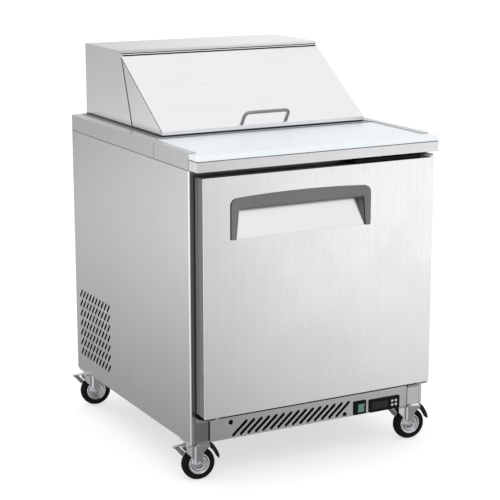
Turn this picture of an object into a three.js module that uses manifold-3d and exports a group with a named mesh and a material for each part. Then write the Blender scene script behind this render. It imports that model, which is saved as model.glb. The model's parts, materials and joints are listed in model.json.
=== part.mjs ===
// One-door refrigerated sandwich prep table on casters.
// Millimetres, +Z up. The table faces -Y. While it is built, Y = 0 is the front face of the
// cabinet and Z = 0 is the floor. The whole group is then moved so that the origin is at the
// centre of the footprint, on the floor.

import * as THREE from 'three';
import { mergeVertices } from 'three/addons/utils/BufferGeometryUtils.js';
import Module from 'manifold-3d';

const wasm = await Module();
wasm.setup();

// ---------------------------------------------------------------- driving dimensions

const cabinetWidth = 698;
const cabinetDepth = 746;
const cabinetBottom = 110;
const bandBottom = 808;
const counterTop = 852;
const bandFrontY = 200;
const halfWidth = cabinetWidth / 2;

const sheet = 2;
const gap = 0.3;
const wallFoam = 40;
const floorFoamBottom = 168;
const linerFloor = 206;
const compartmentCeiling = 358;
const compartmentFrontY = 468;
const storageBackY = 690;
const linerWall = 3.7;
const backFoam = 40;

const postWidth = 49;
const frameDepth = 42;
const flangeWidth = 10;

const doorHalfWidth = 335;
const doorBottom = 188;
const doorTop = 795;
const doorFrontY = -50;
const doorBackY = -12;
const hingeX = 325;
const hingeY = -36;
const hingePinRadius = 5;

const bezelFrontY = -54;
const bezelLeft = -260;
const bezelRight = 140;
const bezelBottom = 637;
const bezelCrown = 746;
const pocketTop = 714;
const pocketDepth = 27;

const shelfFrontY = -46;
const shelfBottom = 809;
const shelfTop = 835;
const boardTop = 849;
const boardBackY = 241;
const railWidth = 20;

const openingHalfWidth = 275;
const openingFrontY = 262;
const openingBackY = 600;
const panWidth = 176;
const panLength = 162;
const panDepth = 100;
const panPitchX = 177;
const panPitchY = 166;
const panRimBottom = 834.3;
const panCentreY = (openingFrontY + openingBackY) / 2;

const hoodHalfWidth = 303;
const hoodSheet = 2;
const hoodTop = 1050;
const hoodBottom = 856.3;
const hoodFrontY = 502;
const hoodLip = 7;
const seamBottomY = 435;
const lidHingeY = 499;
const lidHingeZ = 1038;
const lidFrontY = 243;
const lidBottom = 857;
const lidCorner = 867;
const lidSheet = 3;

const kickHalfWidth = 297;
const kickTop = 181;
const kickFrontY = -4;

const wheelRadius = 43.5;
const casterX = 322;
const casterFrontY = 42;
const casterRearY = 716;
const casterTrail = 12;
const casterTurn = -8;

// ---------------------------------------------------------------- materials

function finish(color, roughness, metalness) {
  return new THREE.MeshStandardMaterial({ color, roughness, metalness });
}

const steel = finish(0xc9cacc, 0.35, 0.9);
const steelBright = finish(0xdedfe1, 0.28, 0.9);
const zinc = finish(0xb9bcc2, 0.3, 0.9);
const linerMetal = finish(0xd4d6d8, 0.45, 0.7);
const boardPlastic = finish(0xe6eff1, 0.5, 0);
const darkPlastic = finish(0x5f6063, 0.55, 0);
const blackPlastic = finish(0x121514, 0.4, 0);
const gasketRubber = finish(0x2f302d, 0.7, 0);
const tyreRubber = finish(0x15181a, 0.75, 0);
const greenLens = finish(0x5c8f7f, 0.25, 0);
const buttonGrey = finish(0xc4c8c8, 0.5, 0);
const compressorPaint = finish(0x1c1d1f, 0.5, 0.3);
const finAluminium = finish(0xb4b9bd, 0.4, 0.8);
const wireCoat = finish(0xe9ebec, 0.4, 0.1);

// ---------------------------------------------------------------- solids

// Vertices are snapped to a micrometre grid, so that faces meant to be flush are exactly flush.
function toSolid(geometry) {
  const bare = geometry.clone();
  bare.deleteAttribute('normal');
  bare.deleteAttribute('uv');
  const position = bare.attributes.position;
  position.array.forEach((value, i) => {
    position.array[i] = Math.round(value * 1000) / 1000;
  });
  const merged = mergeVertices(bare, 1e-4);
  return new wasm.Manifold(new wasm.Mesh({
    numProp: 3,
    vertProperties: new Float32Array(merged.attributes.position.array),
    triVerts: new Uint32Array(merged.index.array),
  }));
}

function fromSolid(solid) {
  const mesh = solid.getMesh();
  const geometry = new THREE.BufferGeometry();
  geometry.setAttribute('position', new THREE.BufferAttribute(new Float32Array(mesh.vertProperties), 3));
  geometry.setIndex(new THREE.BufferAttribute(new Uint32Array(mesh.triVerts), 1));
  geometry.computeVertexNormals();
  return geometry;
}

function join(first, ...others) {
  return fromSolid(others.reduce((solid, other) => solid.add(toSolid(other)), toSolid(first)));
}

function cut(first, ...tools) {
  return fromSolid(tools.reduce((solid, tool) => solid.subtract(toSolid(tool)), toSolid(first)));
}

function box(x0, x1, y0, y1, z0, z1) {
  const geometry = new THREE.BoxGeometry(x1 - x0, y1 - y0, z1 - z0);
  return geometry.translate((x0 + x1) / 2, (y0 + y1) / 2, (z0 + z1) / 2);
}

function shapeOf(points, holes = []) {
  const shape = new THREE.Shape(points.map(([u, v]) => new THREE.Vector2(u, v)));
  for (const hole of holes) {
    shape.holes.push(new THREE.Path(hole.map(([u, v]) => new THREE.Vector2(u, v))));
  }
  return shape;
}

function extrude(shape, depth) {
  return new THREE.ExtrudeGeometry(shape, { depth, bevelEnabled: false, curveSegments: 5 });
}

// Outline in (Y, Z), extruded from x0 to x1.
function extrudeX(shape, x0, x1) {
  const turn = new THREE.Matrix4().makeBasis(
    new THREE.Vector3(0, 1, 0),
    new THREE.Vector3(0, 0, 1),
    new THREE.Vector3(1, 0, 0),
  );
  return extrude(shape, x1 - x0).applyMatrix4(turn).translate(x0, 0, 0);
}

// Outline in (X, Z), extruded from y1 forward to y0.
function extrudeY(shape, y0, y1) {
  return extrude(shape, y1 - y0).rotateX(Math.PI / 2).translate(0, y1, 0);
}

// Outline in (X, Y), extruded from z0 to z1.
function extrudeZ(shape, z0, z1) {
  return extrude(shape, z1 - z0).translate(0, 0, z0);
}

function rectangle(u0, u1, v0, v1) {
  return [[u0, v0], [u1, v0], [u1, v1], [u0, v1]];
}

function chamfered(halfU, halfV, corner) {
  return [
    [halfU, -halfV + corner], [halfU, halfV - corner], [halfU - corner, halfV], [corner - halfU, halfV],
    [-halfU, halfV - corner], [-halfU, corner - halfV], [corner - halfU, -halfV], [halfU - corner, -halfV],
  ];
}

function circle(u, v, radius, sides) {
  return Array.from({ length: sides }, (_, i) => {
    const angle = (2 * Math.PI * i) / sides;
    return [u + radius * Math.cos(angle), v + radius * Math.sin(angle)];
  });
}

function cylinderX(radius, x0, x1, y, z, sides = 20) {
  return extrudeX(shapeOf(circle(y, z, radius, sides)), x0, x1);
}

function cylinderY(radius, y0, y1, x, z, sides = 20) {
  return extrudeY(shapeOf(circle(x, z, radius, sides)), y0, y1);
}

function cylinderZ(radius, z0, z1, x, y, sides = 20) {
  return extrudeZ(shapeOf(circle(x, y, radius, sides)), z0, z1);
}

const table = new THREE.Group();

function addPart(name, geometry, material, parent = table) {
  const mesh = new THREE.Mesh(geometry, material);
  mesh.name = name;
  parent.add(mesh);
  return mesh;
}

const mirrored = (points) => points.map(([u, v]) => [-u, v]).reverse();

// ---------------------------------------------------------------- cabinet shell

// Base pan: floor of the machine space, with a stiffening flange along each side.
function basePan() {
  const halfPan = halfWidth - sheet - gap;
  const flangeFrontY = frameDepth + 8;
  const backY = cabinetDepth - sheet - gap;
  const flanges = [-1, 1].map((side) => {
    const outer = side * halfPan;
    const inner = side * (halfPan - sheet);
    const x0 = Math.min(outer, inner);
    const x1 = Math.max(outer, inner);
    return box(x0, x1, flangeFrontY, backY, cabinetBottom, cabinetBottom + 18);
  });
  return join(box(-halfPan, halfPan, sheet + gap, backY, cabinetBottom, cabinetBottom + sheet), ...flanges);
}

// Slanted louvre slots near the rear bottom corner of a side panel, as holes in a (Y, Z) outline.
function louvreSlots() {
  const columns = 10;
  const rows = 7;
  const columnPitch = 21.6;
  const rowPitch = 28.7;
  const firstTopY = 503;
  const firstTopZ = 352;
  const lean = 20;
  const drop = 22;
  const halfSlot = 4;
  const slots = [];
  for (let row = 0; row < rows; row += 1) {
    for (let column = 0; column < columns; column += 1) {
      const y = firstTopY + column * columnPitch;
      const z = firstTopZ - row * rowPitch;
      slots.push([
        [y - halfSlot, z],
        [y + lean - halfSlot, z - drop],
        [y + lean + halfSlot, z - drop],
        [y + halfSlot, z],
      ]);
    }
  }
  return slots;
}

// Side panel: stainless skin with a front return flange and foam bonded behind the storage space.
function sidePanel(side) {
  const outline = rectangle(0, cabinetDepth, cabinetBottom, bandBottom - gap);
  const slots = louvreSlots().map((slot) => (
    extrudeX(shapeOf(slot), halfWidth - 2 * sheet, halfWidth + sheet)
  ));
  const skin = cut(extrudeX(shapeOf(outline), halfWidth - sheet, halfWidth), ...slots);
  const flange = box(
    halfWidth - flangeWidth, halfWidth - 0.5 * sheet, 0, sheet, cabinetBottom, bandBottom - gap,
  );
  const foamFrontY = frameDepth + gap;
  const foamOutline = [
    [foamFrontY, floorFoamBottom],
    [compartmentFrontY, floorFoamBottom],
    [compartmentFrontY, compartmentCeiling],
    [cabinetDepth - 6, compartmentCeiling],
    [cabinetDepth - 6, bandBottom - 3],
    [foamFrontY, bandBottom - 3],
  ];
  const foam = extrudeX(shapeOf(foamOutline), halfWidth - sheet - wallFoam, halfWidth - 0.5 * sheet);
  const panel = toSolid(join(skin, flange, foam));
  return fromSolid(side > 0 ? panel : panel.mirror([1, 0, 0]));
}

// Back panel with two columns of air slots at the machine space and a collar for the supply cord.
function backPanel() {
  const halfPanel = halfWidth - sheet - gap;
  const slots = [];
  for (const centre of [-150, 150]) {
    for (let row = 0; row < 8; row += 1) {
      const z = 150 + row * 24;
      slots.push(box(centre - 95, centre + 95, cabinetDepth - 5, cabinetDepth + 5, z, z + 8));
    }
  }
  const frontY = cabinetDepth - sheet + gap;
  const bottom = cabinetBottom + sheet + gap;
  const gland = { x: -285, z: 150, radius: 14, bore: 5, depth: 14 };
  const panel = join(
    box(-halfPanel, halfPanel, frontY, cabinetDepth, bottom, bandBottom - gap),
    cylinderY(gland.radius, cabinetDepth - gland.depth, cabinetDepth - 1, gland.x, gland.z),
  );
  const bore = cylinderY(gland.bore, cabinetDepth - gland.depth - 5, cabinetDepth + 5, gland.x, gland.z, 16);
  return cut(panel, ...slots, bore);
}

// Face frame: two posts, a head rail and a sill, open below the sill for the kick grille.
function frontFrame() {
  const outerX = halfWidth - flangeWidth - gap;
  const innerX = halfWidth - postWidth - 0.5;
  const bottom = cabinetBottom + sheet + gap;
  const sillBottom = kickTop + 5.5;
  const outline = [
    [-outerX, bottom], [-innerX, bottom], [-innerX, sillBottom], [innerX, sillBottom],
    [innerX, bottom], [outerX, bottom], [outerX, bandBottom - gap], [-outerX, bandBottom - gap],
  ];
  const doorOpening = rectangle(-285, 285, linerFloor - 1, 772);
  return extrudeY(shapeOf(outline, [doorOpening]), 0, frameDepth);
}

// Foam-backed storage tank: open at the front and the top, stepped over the machine space.
function insulatedLiner() {
  const outerX = halfWidth - sheet - wallFoam - gap;
  const innerX = outerX - linerWall;
  const frontY = frameDepth + gap;
  const top = bandBottom - 3;
  const outside = [
    [frontY, floorFoamBottom], [compartmentFrontY, floorFoamBottom], [compartmentFrontY, compartmentCeiling],
    [storageBackY, compartmentCeiling], [storageBackY, top], [frontY, top],
  ];
  const lowBackY = compartmentFrontY - backFoam + 2;
  const stepZ = compartmentCeiling + backFoam;
  const backY = storageBackY - backFoam;
  const inside = [
    [frontY - 10, linerFloor], [lowBackY, linerFloor], [lowBackY, stepZ],
    [backY, stepZ], [backY, top + 10], [frontY - 10, top + 10],
  ];
  const tank = cut(extrudeX(shapeOf(outside), -outerX, outerX), extrudeX(shapeOf(inside), -innerX, innerX));
  const ledges = [-1, 1].map((side) => {
    const inner = side * (innerX - 13);
    const outer = side * (innerX + 1);
    return box(Math.min(inner, outer), Math.max(inner, outer), 70, 420, 470, 478);
  });
  return join(tank, ...ledges);
}

// Wire shelf: a rim of heavy wire, two cross wires and a comb of thinner wires.
function wireShelf() {
  const halfShelf = 298;
  const frontY = 74;
  const backY = 416;
  const rim = 5;
  const wire = 3;
  const bottom = 478.3;
  const rimShape = shapeOf(
    rectangle(-halfShelf, halfShelf, frontY, backY),
    [rectangle(rim - halfShelf, halfShelf - rim, frontY + rim, backY - rim)],
  );
  const wires = [];
  const count = 12;
  for (let i = 1; i <= count; i += 1) {
    const x = -halfShelf + (2 * halfShelf * i) / (count + 1);
    wires.push(box(x - wire / 2, x + wire / 2, frontY + 1, backY - 1, bottom + 3, bottom + 6));
  }
  for (const y of [190, 300]) {
    wires.push(box(1 - halfShelf, halfShelf - 1, y, y + wire, bottom + 0.5, bottom + 4));
  }
  return join(extrudeZ(rimShape, bottom, bottom + 5), ...wires);
}

addPart('base_pan', basePan(), steel);
addPart('left_side_panel', sidePanel(-1), steel);
addPart('right_side_panel', sidePanel(1), steel);
addPart('back_panel', backPanel(), steel);
addPart('front_frame', frontFrame(), steel);
addPart('insulated_liner', insulatedLiner(), linerMetal);
addPart('wire_shelf', wireShelf(), wireCoat);

// ---------------------------------------------------------------- kick grille and controls

const switchPlate = { left: 128, right: 167, bottom: 111, top: 149 };
const rockerPivot = { y: 0, z: 130 };
const controlPlate = { left: 177, right: 272, bottom: 110.5, top: 146 };
const buttonRadius = 3.8;
const buttonCentres = [[248.5, 134], [260, 134], [248.5, 123], [260, 123]];

function kickGrille() {
  const slotCount = 15;
  const slotPitch = 21.9;
  const slotLean = 41;
  const slotBottom = 116;
  const slotTop = 151;
  const halfSlot = 3.2;
  const holes = [];
  for (let i = 0; i < slotCount; i += 1) {
    const x = -232.5 + i * slotPitch;
    holes.push([
      [x - halfSlot, slotBottom], [x + halfSlot, slotBottom],
      [x + slotLean + halfSlot, slotTop], [x + slotLean - halfSlot, slotTop],
    ]);
  }
  holes.push(circle(-238, 153, 6, 12));
  holes.push(circle(101, 117.5, 6, 12));
  for (const { left, right, bottom, top } of [switchPlate, controlPlate]) {
    holes.push(rectangle(left + 4, right - 4, bottom + 4, top - 4));
  }
  const innerX = kickHalfWidth - sheet;
  const innerY = kickFrontY + sheet;
  const channel = extrudeZ(shapeOf([
    [-kickHalfWidth, kickFrontY], [kickHalfWidth, kickFrontY], [kickHalfWidth, sheet], [innerX, sheet],
    [innerX, innerY], [-innerX, innerY], [-innerX, sheet], [-kickHalfWidth, sheet],
  ]), cabinetBottom, kickTop);
  return cut(channel, ...holes.map((hole) => extrudeY(shapeOf(hole), kickFrontY - 5, kickFrontY + 5)));
}

function rockerBezel() {
  const { left, right, bottom, top } = switchPlate;
  const plate = box(left, right, kickFrontY - 2.4, kickFrontY - gap, bottom, top);
  const sleeve = box(left + 4.5, right - 4.5, kickFrontY - 1, 16, bottom + 4.5, top - 4.5);
  const window = box(left + 13, right - 5.7, kickFrontY - 5, 17, bottom + 5.7, top - 5.7);
  return cut(join(plate, sleeve), window);
}

// The rocker rests tipped to its "on" side.
function rocker() {
  const restTilt = 7;
  const half = 12;
  const shape = shapeOf([
    [-8.4, -half], [-6.6, 0], [-8.4, half], [6, half - 3], [6, 3 - half],
  ]);
  const body = extrudeX(shape, switchPlate.left + 13.6, switchPlate.right - 6.3);
  return body.rotateX(THREE.MathUtils.degToRad(restTilt)).translate(0, rockerPivot.y, rockerPivot.z);
}

function controllerBody() {
  const { left, right, bottom, top } = controlPlate;
  const plate = box(left, right, kickFrontY - 4, kickFrontY - gap, bottom, top);
  const housing = box(left + 5.5, right - 5.5, kickFrontY - 1, 45, bottom + 4.5, top - 4.5);
  const sockets = buttonCentres.map(([x, z]) => (
    cylinderY(buttonRadius + 0.3, kickFrontY - 5, kickFrontY + 1, x, z, 16)
  ));
  const display = box(left + 8, left + 58, kickFrontY - 5, kickFrontY - 3.2, bottom + 7, top - 7);
  return cut(join(plate, housing), ...sockets, display);
}

addPart('kick_grille', kickGrille(), steel);
addPart('rocker_bezel', rockerBezel(), blackPlastic);
addPart('power_rocker', rocker(), greenLens);
addPart('temperature_controller', controllerBody(), blackPlastic);
buttonCentres.forEach(([x, z], i) => {
  const button = cylinderY(buttonRadius, kickFrontY - 5.2, kickFrontY - 0.5, x, z, 16);
  addPart(`controller_button_${i + 1}`, button, buttonGrey);
});

// ---------------------------------------------------------------- counter, board and pans

// Counter top: folded sheet with a deep outer band, notched at the front for the cutting board.
function counterPlate() {
  const frontY = bandFrontY + gap;
  const notchX = halfWidth - railWidth - gap;
  const notchY = boardBackY + 5;
  const outline = (inset) => shapeOf([
    [-halfWidth + inset, frontY + inset], [-notchX - inset, frontY + inset],
    [-notchX - inset, notchY + inset], [notchX + inset, notchY + inset],
    [notchX + inset, frontY + inset], [halfWidth - inset, frontY + inset],
    [halfWidth - inset, cabinetDepth - inset], [-halfWidth + inset, cabinetDepth - inset],
  ]);
  const outside = extrudeZ(outline(0), bandBottom + gap, counterTop);
  const inside = extrudeZ(outline(sheet), bandBottom - 5, counterTop - sheet);
  const opening = box(
    -openingHalfWidth, openingHalfWidth, openingFrontY, openingBackY, bandBottom - 5, counterTop + 5,
  );
  return cut(outside, inside, opening);
}

// Channel beside the cutting board, in line with the counter band.
function boardRail(side) {
  const inner = side * (halfWidth - railWidth);
  const outer = side * halfWidth;
  const x0 = Math.min(inner, outer);
  const x1 = Math.max(inner, outer);
  return cut(
    box(x0, x1, 0, bandFrontY, bandBottom + gap, counterTop),
    box(x0 + sheet, x1 - sheet, sheet, bandFrontY - sheet, bandBottom - 5, counterTop - sheet),
  );
}

// Tray under the board with a folded nose in front of the cabinet.
function boardShelf() {
  const plateX = halfWidth - railWidth - gap;
  const plate = box(-plateX, plateX, -3, boardBackY + 4.5, shelfTop - sheet, shelfTop);
  const nose = cut(
    box(-halfWidth, halfWidth, shelfFrontY, -gap, shelfBottom, shelfTop),
    box(sheet - halfWidth, halfWidth - sheet, shelfFrontY + sheet, 5, shelfBottom - 5, shelfTop - sheet),
  );
  return join(nose, plate);
}

// White board, full width over the nose and narrower between the rails.
function cuttingBoard() {
  const rearX = halfWidth - railWidth - 1;
  return extrudeZ(shapeOf([
    [-halfWidth, shelfFrontY], [halfWidth, shelfFrontY], [halfWidth, -0.5], [rearX, -0.5],
    [rearX, boardBackY], [-rearX, boardBackY], [-rearX, -0.5], [-halfWidth, -0.5],
  ]), shelfTop + gap, boardTop);
}

// Pan rail: a walled frame dropped into the counter opening, with divider bars between the pans.
function foodRail() {
  const halfX = openingHalfWidth - gap;
  const frontY = openingFrontY + gap;
  const backY = openingBackY - gap;
  const wall = 2.5;
  const ledge = 7;
  const bar = 8;
  const barTop = panRimBottom - gap;
  const barBottom = barTop - 12;
  const ring = (inset, width, z0, z1) => extrudeZ(shapeOf(
    rectangle(inset - halfX, halfX - inset, frontY + inset, backY - inset),
    [rectangle(inset + width - halfX, halfX - inset - width, frontY + inset + width, backY - inset - width)],
  ), z0, z1);
  const bars = [box(1 - halfX, halfX - 1, panCentreY - bar, panCentreY + bar, barBottom, barTop)];
  for (const x of [-panPitchX / 2, panPitchX / 2]) {
    bars.push(box(x - bar, x + bar, frontY + 1, backY - 1, barBottom, barTop));
  }
  return join(ring(0, wall, barBottom, counterTop - gap), ring(0, wall + ledge, barBottom, barTop), ...bars);
}

// Box whose bottom face is smaller than its top face by the inset, all round.
function taperedBox(halfX, halfY, inset, bottom, top) {
  const geometry = box(-halfX, halfX, -halfY, halfY, bottom, top);
  const position = geometry.attributes.position;
  for (let i = 0; i < position.count; i += 1) {
    if (position.getZ(i) < (bottom + top) / 2) {
      position.setX(i, position.getX(i) - Math.sign(position.getX(i)) * inset);
      position.setY(i, position.getY(i) - Math.sign(position.getY(i)) * inset);
    }
  }
  return geometry;
}

// One-sixth size pan: flat rim and four tapered walls.
function foodPan() {
  const wall = 2;
  const taper = 6;
  const wallX = panWidth / 2 - 14;
  const wallY = panLength / 2 - 12;
  const rim = extrudeZ(shapeOf(chamfered(panWidth / 2, panLength / 2, 10)), 0, wall);
  const outside = taperedBox(wallX, wallY, taper, wall - panDepth, 1);
  const inside = taperedBox(wallX - wall, wallY - wall, taper, 2 * wall - panDepth, 6);
  return cut(join(rim, outside), inside);
}

addPart('counter_top', counterPlate(), steel);
addPart('left_board_rail', boardRail(-1), steel);
addPart('right_board_rail', boardRail(1), steel);
addPart('board_shelf', boardShelf(), steel);
addPart('cutting_board', cuttingBoard(), boardPlastic);
addPart('food_rail', foodRail(), steel);
for (let row = 0; row < 2; row += 1) {
  for (let column = 0; column < 3; column += 1) {
    const pan = addPart(`food_pan_${row * 3 + column + 1}`, foodPan(), steelBright);
    pan.position.set((column - 1) * panPitchX, panCentreY + (row - 0.5) * panPitchY, panRimBottom);
  }
}

// ---------------------------------------------------------------- hood and lid

// Fixed rear hood: top with a front lip, two sides and a back, open at the front and the bottom.
function hoodCover() {
  const outside = shapeOf([
    [seamBottomY, hoodBottom], [cabinetDepth, hoodBottom], [cabinetDepth, hoodTop], [hoodFrontY, hoodTop],
    [hoodFrontY, hoodTop - hoodLip], [lidHingeY - 1, lidHingeZ - 5],
  ]);
  const lipBackY = hoodFrontY + hoodSheet;
  const inside = shapeOf([
    [seamBottomY - 30, hoodBottom - 5], [cabinetDepth - hoodSheet, hoodBottom - 5],
    [cabinetDepth - hoodSheet, hoodTop - hoodSheet], [lipBackY, hoodTop - hoodSheet],
    [lipBackY, hoodTop - hoodLip], [hoodFrontY - 20, hoodTop - hoodLip],
  ]);
  const innerX = hoodHalfWidth - hoodSheet;
  return cut(extrudeX(outside, -hoodHalfWidth, hoodHalfWidth), extrudeX(inside, -innerX, innerX));
}

const slopeLength = Math.hypot(lidFrontY - lidHingeY, lidCorner - lidHingeZ);
const slope = [(lidFrontY - lidHingeY) / slopeLength, (lidCorner - lidHingeZ) / slopeLength];
const slopeNormal = [slope[1], -slope[0]];

// Lid: sloped face ending in a short lip, with a triangular cheek on each side.
function lidShell() {
  const clear = 6;
  const top = [lidHingeY + clear * slope[0], lidHingeZ + clear * slope[1]];
  const behind = (point, distance) => point.map((value, i) => value - distance * slopeNormal[i]);
  const outside = shapeOf([
    [lidFrontY, lidBottom], [seamBottomY - 2, lidBottom], [lidHingeY - 5.5, lidHingeZ - 9], top,
    [lidFrontY, lidCorner],
  ]);
  const lipBackY = lidFrontY + lidSheet;
  const innerCorner = lidCorner - 0.5 * lidSheet;
  const innerTop = behind([lidHingeY - 24 * slope[0], lidHingeZ - 24 * slope[1]], lidSheet);
  const inside = shapeOf([
    [lipBackY, lidBottom - 5], [seamBottomY + 40, lidBottom - 5], [lidHingeY + 30, lidHingeZ - 20], innerTop,
    [lipBackY, innerCorner],
  ]);
  const innerX = hoodHalfWidth - hoodSheet;
  return cut(extrudeX(outside, -hoodHalfWidth, hoodHalfWidth), extrudeX(inside, -innerX, innerX));
}

// U-shaped round bar standing off the lid's sloped face.
function lidHandle() {
  const span = 66;
  const reach = 31;
  const bend = 12;
  const barRadius = 4.5;
  const up = 14;
  const foot = [lidFrontY - up * slope[0], lidCorner - up * slope[1]];
  const at = (x, out) => new THREE.Vector3(x, foot[0] + out * slopeNormal[0], foot[1] + out * slopeNormal[1]);
  const path = new THREE.CurvePath();
  path.add(new THREE.LineCurve3(at(-span, gap), at(-span, reach - bend)));
  const cornerPath = (...points) => new THREE.QuadraticBezierCurve3(...points);
  path.add(cornerPath(at(-span, reach - bend), at(-span, reach), at(bend - span, reach)));
  path.add(new THREE.LineCurve3(at(bend - span, reach), at(span - bend, reach)));
  path.add(cornerPath(at(span - bend, reach), at(span, reach), at(span, reach - bend)));
  path.add(new THREE.LineCurve3(at(span, reach - bend), at(span, gap)));
  const section = shapeOf(circle(0, 0, barRadius, 8));
  return new THREE.ExtrudeGeometry(section, { steps: 26, extrudePath: path });
}

// Seal strip between the counter and the hood.
function hoodGasket() {
  const outerX = hoodHalfWidth + 1;
  const width = 8;
  return extrudeZ(shapeOf(
    rectangle(-outerX, outerX, 247, cabinetDepth - 1),
    [rectangle(width - outerX, outerX - width, 247 + width, cabinetDepth - 1 - width)],
  ), counterTop + gap, hoodBottom - gap);
}

addPart('hood_cover', hoodCover(), steelBright);
addPart('lid_shell', lidShell(), steelBright);
addPart('lid_handle', lidHandle(), zinc);
const hingeRod = cylinderX(3, 2.5 - hoodHalfWidth, hoodHalfWidth - 2.5, lidHingeY, lidHingeZ, 12);
addPart('lid_hinge_rod', hingeRod, zinc);
addPart('hood_gasket', hoodGasket(), gasketRubber);

// ---------------------------------------------------------------- door

const pocketLeft = bezelLeft + 14;
const pocketRight = bezelRight - 14;

// Wedge-shaped space of the pull: its rear wall slopes from flush at the bottom to deepest at the top.
function pocketWedge(frontY, setback, side, top) {
  const rise = pocketDepth / (pocketTop + 2 - bezelBottom);
  const wallY = (z) => doorFrontY + setback + rise * (z - bezelBottom);
  const startZ = bezelBottom + (frontY - doorFrontY - setback) / rise;
  const wedge = shapeOf([[frontY, startZ], [wallY(top), top], [frontY, top]]);
  return extrudeX(wedge, pocketLeft - side, pocketRight + side);
}

const hingeBores = () => [
  cylinderZ(hingePinRadius + 0.6, doorTop - 14, doorTop + 5, hingeX, hingeY),
  cylinderZ(hingePinRadius + 0.6, doorBottom - 5, doorBottom + 14, hingeX, hingeY),
];

function doorShell() {
  const outside = box(-doorHalfWidth, doorHalfWidth, doorFrontY, doorBackY - 2, doorBottom, doorTop);
  const inside = box(
    sheet - doorHalfWidth, doorHalfWidth - sheet, doorFrontY + sheet, 0, doorBottom + sheet, doorTop - sheet,
  );
  const window = box(pocketLeft, pocketRight, doorFrontY - 5, doorFrontY + 5, bezelBottom, pocketTop + 2);
  return cut(outside, inside, window, ...hingeBores());
}

function doorCore() {
  const halfCore = doorHalfWidth - sheet - gap;
  const core = box(
    -halfCore, halfCore, doorFrontY + sheet + gap, doorBackY, doorBottom + sheet + gap, doorTop - sheet - gap,
  );
  return cut(core, pocketWedge(doorFrontY, 0.5, 0.5, pocketTop + 2.5), ...hingeBores());
}

function handlePocket() {
  const wall = 2;
  const outside = pocketWedge(doorFrontY + gap, 0, -gap, pocketTop + 2 - gap);
  const inside = pocketWedge(doorFrontY - 3, -wall, -wall, pocketTop);
  return cut(outside, inside);
}

// Arched grip surround: crowned top, rounded shoulders and legs that narrow towards their ends.
function handleBezel() {
  const centre = (bezelLeft + bezelRight) / 2;
  const shoulder = 16;
  const shoulderZ = bezelCrown - 7;
  const legFoot = 15;
  const legTop = 21;
  const footRadius = 4;
  const shape = new THREE.Shape();
  shape.moveTo(bezelLeft, bezelBottom + footRadius);
  shape.lineTo(bezelLeft, shoulderZ - shoulder);
  shape.quadraticCurveTo(bezelLeft, shoulderZ, bezelLeft + shoulder, shoulderZ);
  shape.quadraticCurveTo(centre, 2 * bezelCrown - shoulderZ, bezelRight - shoulder, shoulderZ);
  shape.quadraticCurveTo(bezelRight, shoulderZ, bezelRight, shoulderZ - shoulder);
  shape.lineTo(bezelRight, bezelBottom + footRadius);
  shape.quadraticCurveTo(bezelRight, bezelBottom, bezelRight - footRadius, bezelBottom);
  shape.lineTo(bezelRight - legFoot + 2, bezelBottom);
  shape.lineTo(bezelRight - legFoot, bezelBottom + 2);
  shape.lineTo(bezelRight - legTop, pocketTop - 8);
  shape.lineTo(bezelRight - legTop - 8, pocketTop);
  shape.lineTo(bezelLeft + legTop + 8, pocketTop);
  shape.lineTo(bezelLeft + legTop, pocketTop - 8);
  shape.lineTo(bezelLeft + legFoot, bezelBottom + 2);
  shape.lineTo(bezelLeft + legFoot - 2, bezelBottom);
  shape.lineTo(bezelLeft + footRadius, bezelBottom);
  shape.quadraticCurveTo(bezelLeft, bezelBottom, bezelLeft, bezelBottom + footRadius);
  return extrudeY(shape, bezelFrontY, doorFrontY - gap);
}

function doorGasket() {
  const width = 18;
  const halfX = 318;
  return extrudeY(shapeOf(
    rectangle(-halfX, halfX, doorBottom + 8, doorTop - 8),
    [rectangle(width - halfX, halfX - width, doorBottom + 8 + width, doorTop - 8 - width)],
  ), doorBackY + gap, -0.6);
}

addPart('door_shell', doorShell(), steel);
addPart('door_core', doorCore(), linerMetal);
addPart('handle_pocket', handlePocket(), steelBright);
addPart('handle_bezel', handleBezel(), darkPlastic);
addPart('door_gasket', doorGasket(), gasketRubber);

// Hinge bracket: a leaf on the post, an arm over the door's edge and a pin into the door.
function hingeBracket(leafBottom, leafTop, armBottom, armTop, pinBottom, pinTop) {
  const leaf = box(302, 338, -3, -gap, leafBottom, leafTop);
  const arm = extrudeZ(shapeOf([
    [302, -gap], [302, -28], [316, -46], [332, -46], [341, -36], [341, -gap],
  ]), armBottom, armTop);
  return join(leaf, arm, cylinderZ(hingePinRadius, pinBottom, pinTop, hingeX, hingeY, 16));
}

function doorRest() {
  const leaf = box(-338, -302, -3, -gap, 162, 183);
  const arm = extrudeZ(shapeOf(mirrored([
    [296, -6], [296, -36], [301, -42], [330, -42], [341, -30], [341, -6],
  ])), 180, 183);
  const neck = box(-338, -302, -8, -1, 180, 183);
  return join(leaf, neck, arm);
}

addPart('top_hinge_bracket', hingeBracket(797.5, 807, 797.5, 801, 783, 798), zinc);
addPart('bottom_hinge_bracket', hingeBracket(160, 185.5, 182.3, 185.5, 185, 200), zinc);
addPart('door_rest_bracket', doorRest(), zinc);

// ---------------------------------------------------------------- cooling system

const fanCentre = [150, 556, 232];

function compressor() {
  const profile = [
    [0, 0], [62, 0], [72, 8], [76, 24], [76, 104], [70, 130], [52, 148], [24, 156], [0, 158],
  ].map(([r, z]) => new THREE.Vector2(r, z));
  const can = new THREE.LatheGeometry(profile, 20).rotateX(Math.PI / 2);
  const feet = box(-92, 92, -34, 34, -5, 1);
  return join(can, feet).translate(-150, 610, 118);
}

function condenserCoil() {
  const finBlock = box(48, 252, 490, 528, 128, 336);
  const grooves = [];
  for (let i = 0; i < 11; i += 1) {
    const x = 60 + i * 17;
    grooves.push(box(x, x + 7, 480, 500, 134, 330));
  }
  return join(cut(finBlock, ...grooves), box(44, 256, 486, 534, 112.5, 130));
}

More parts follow.
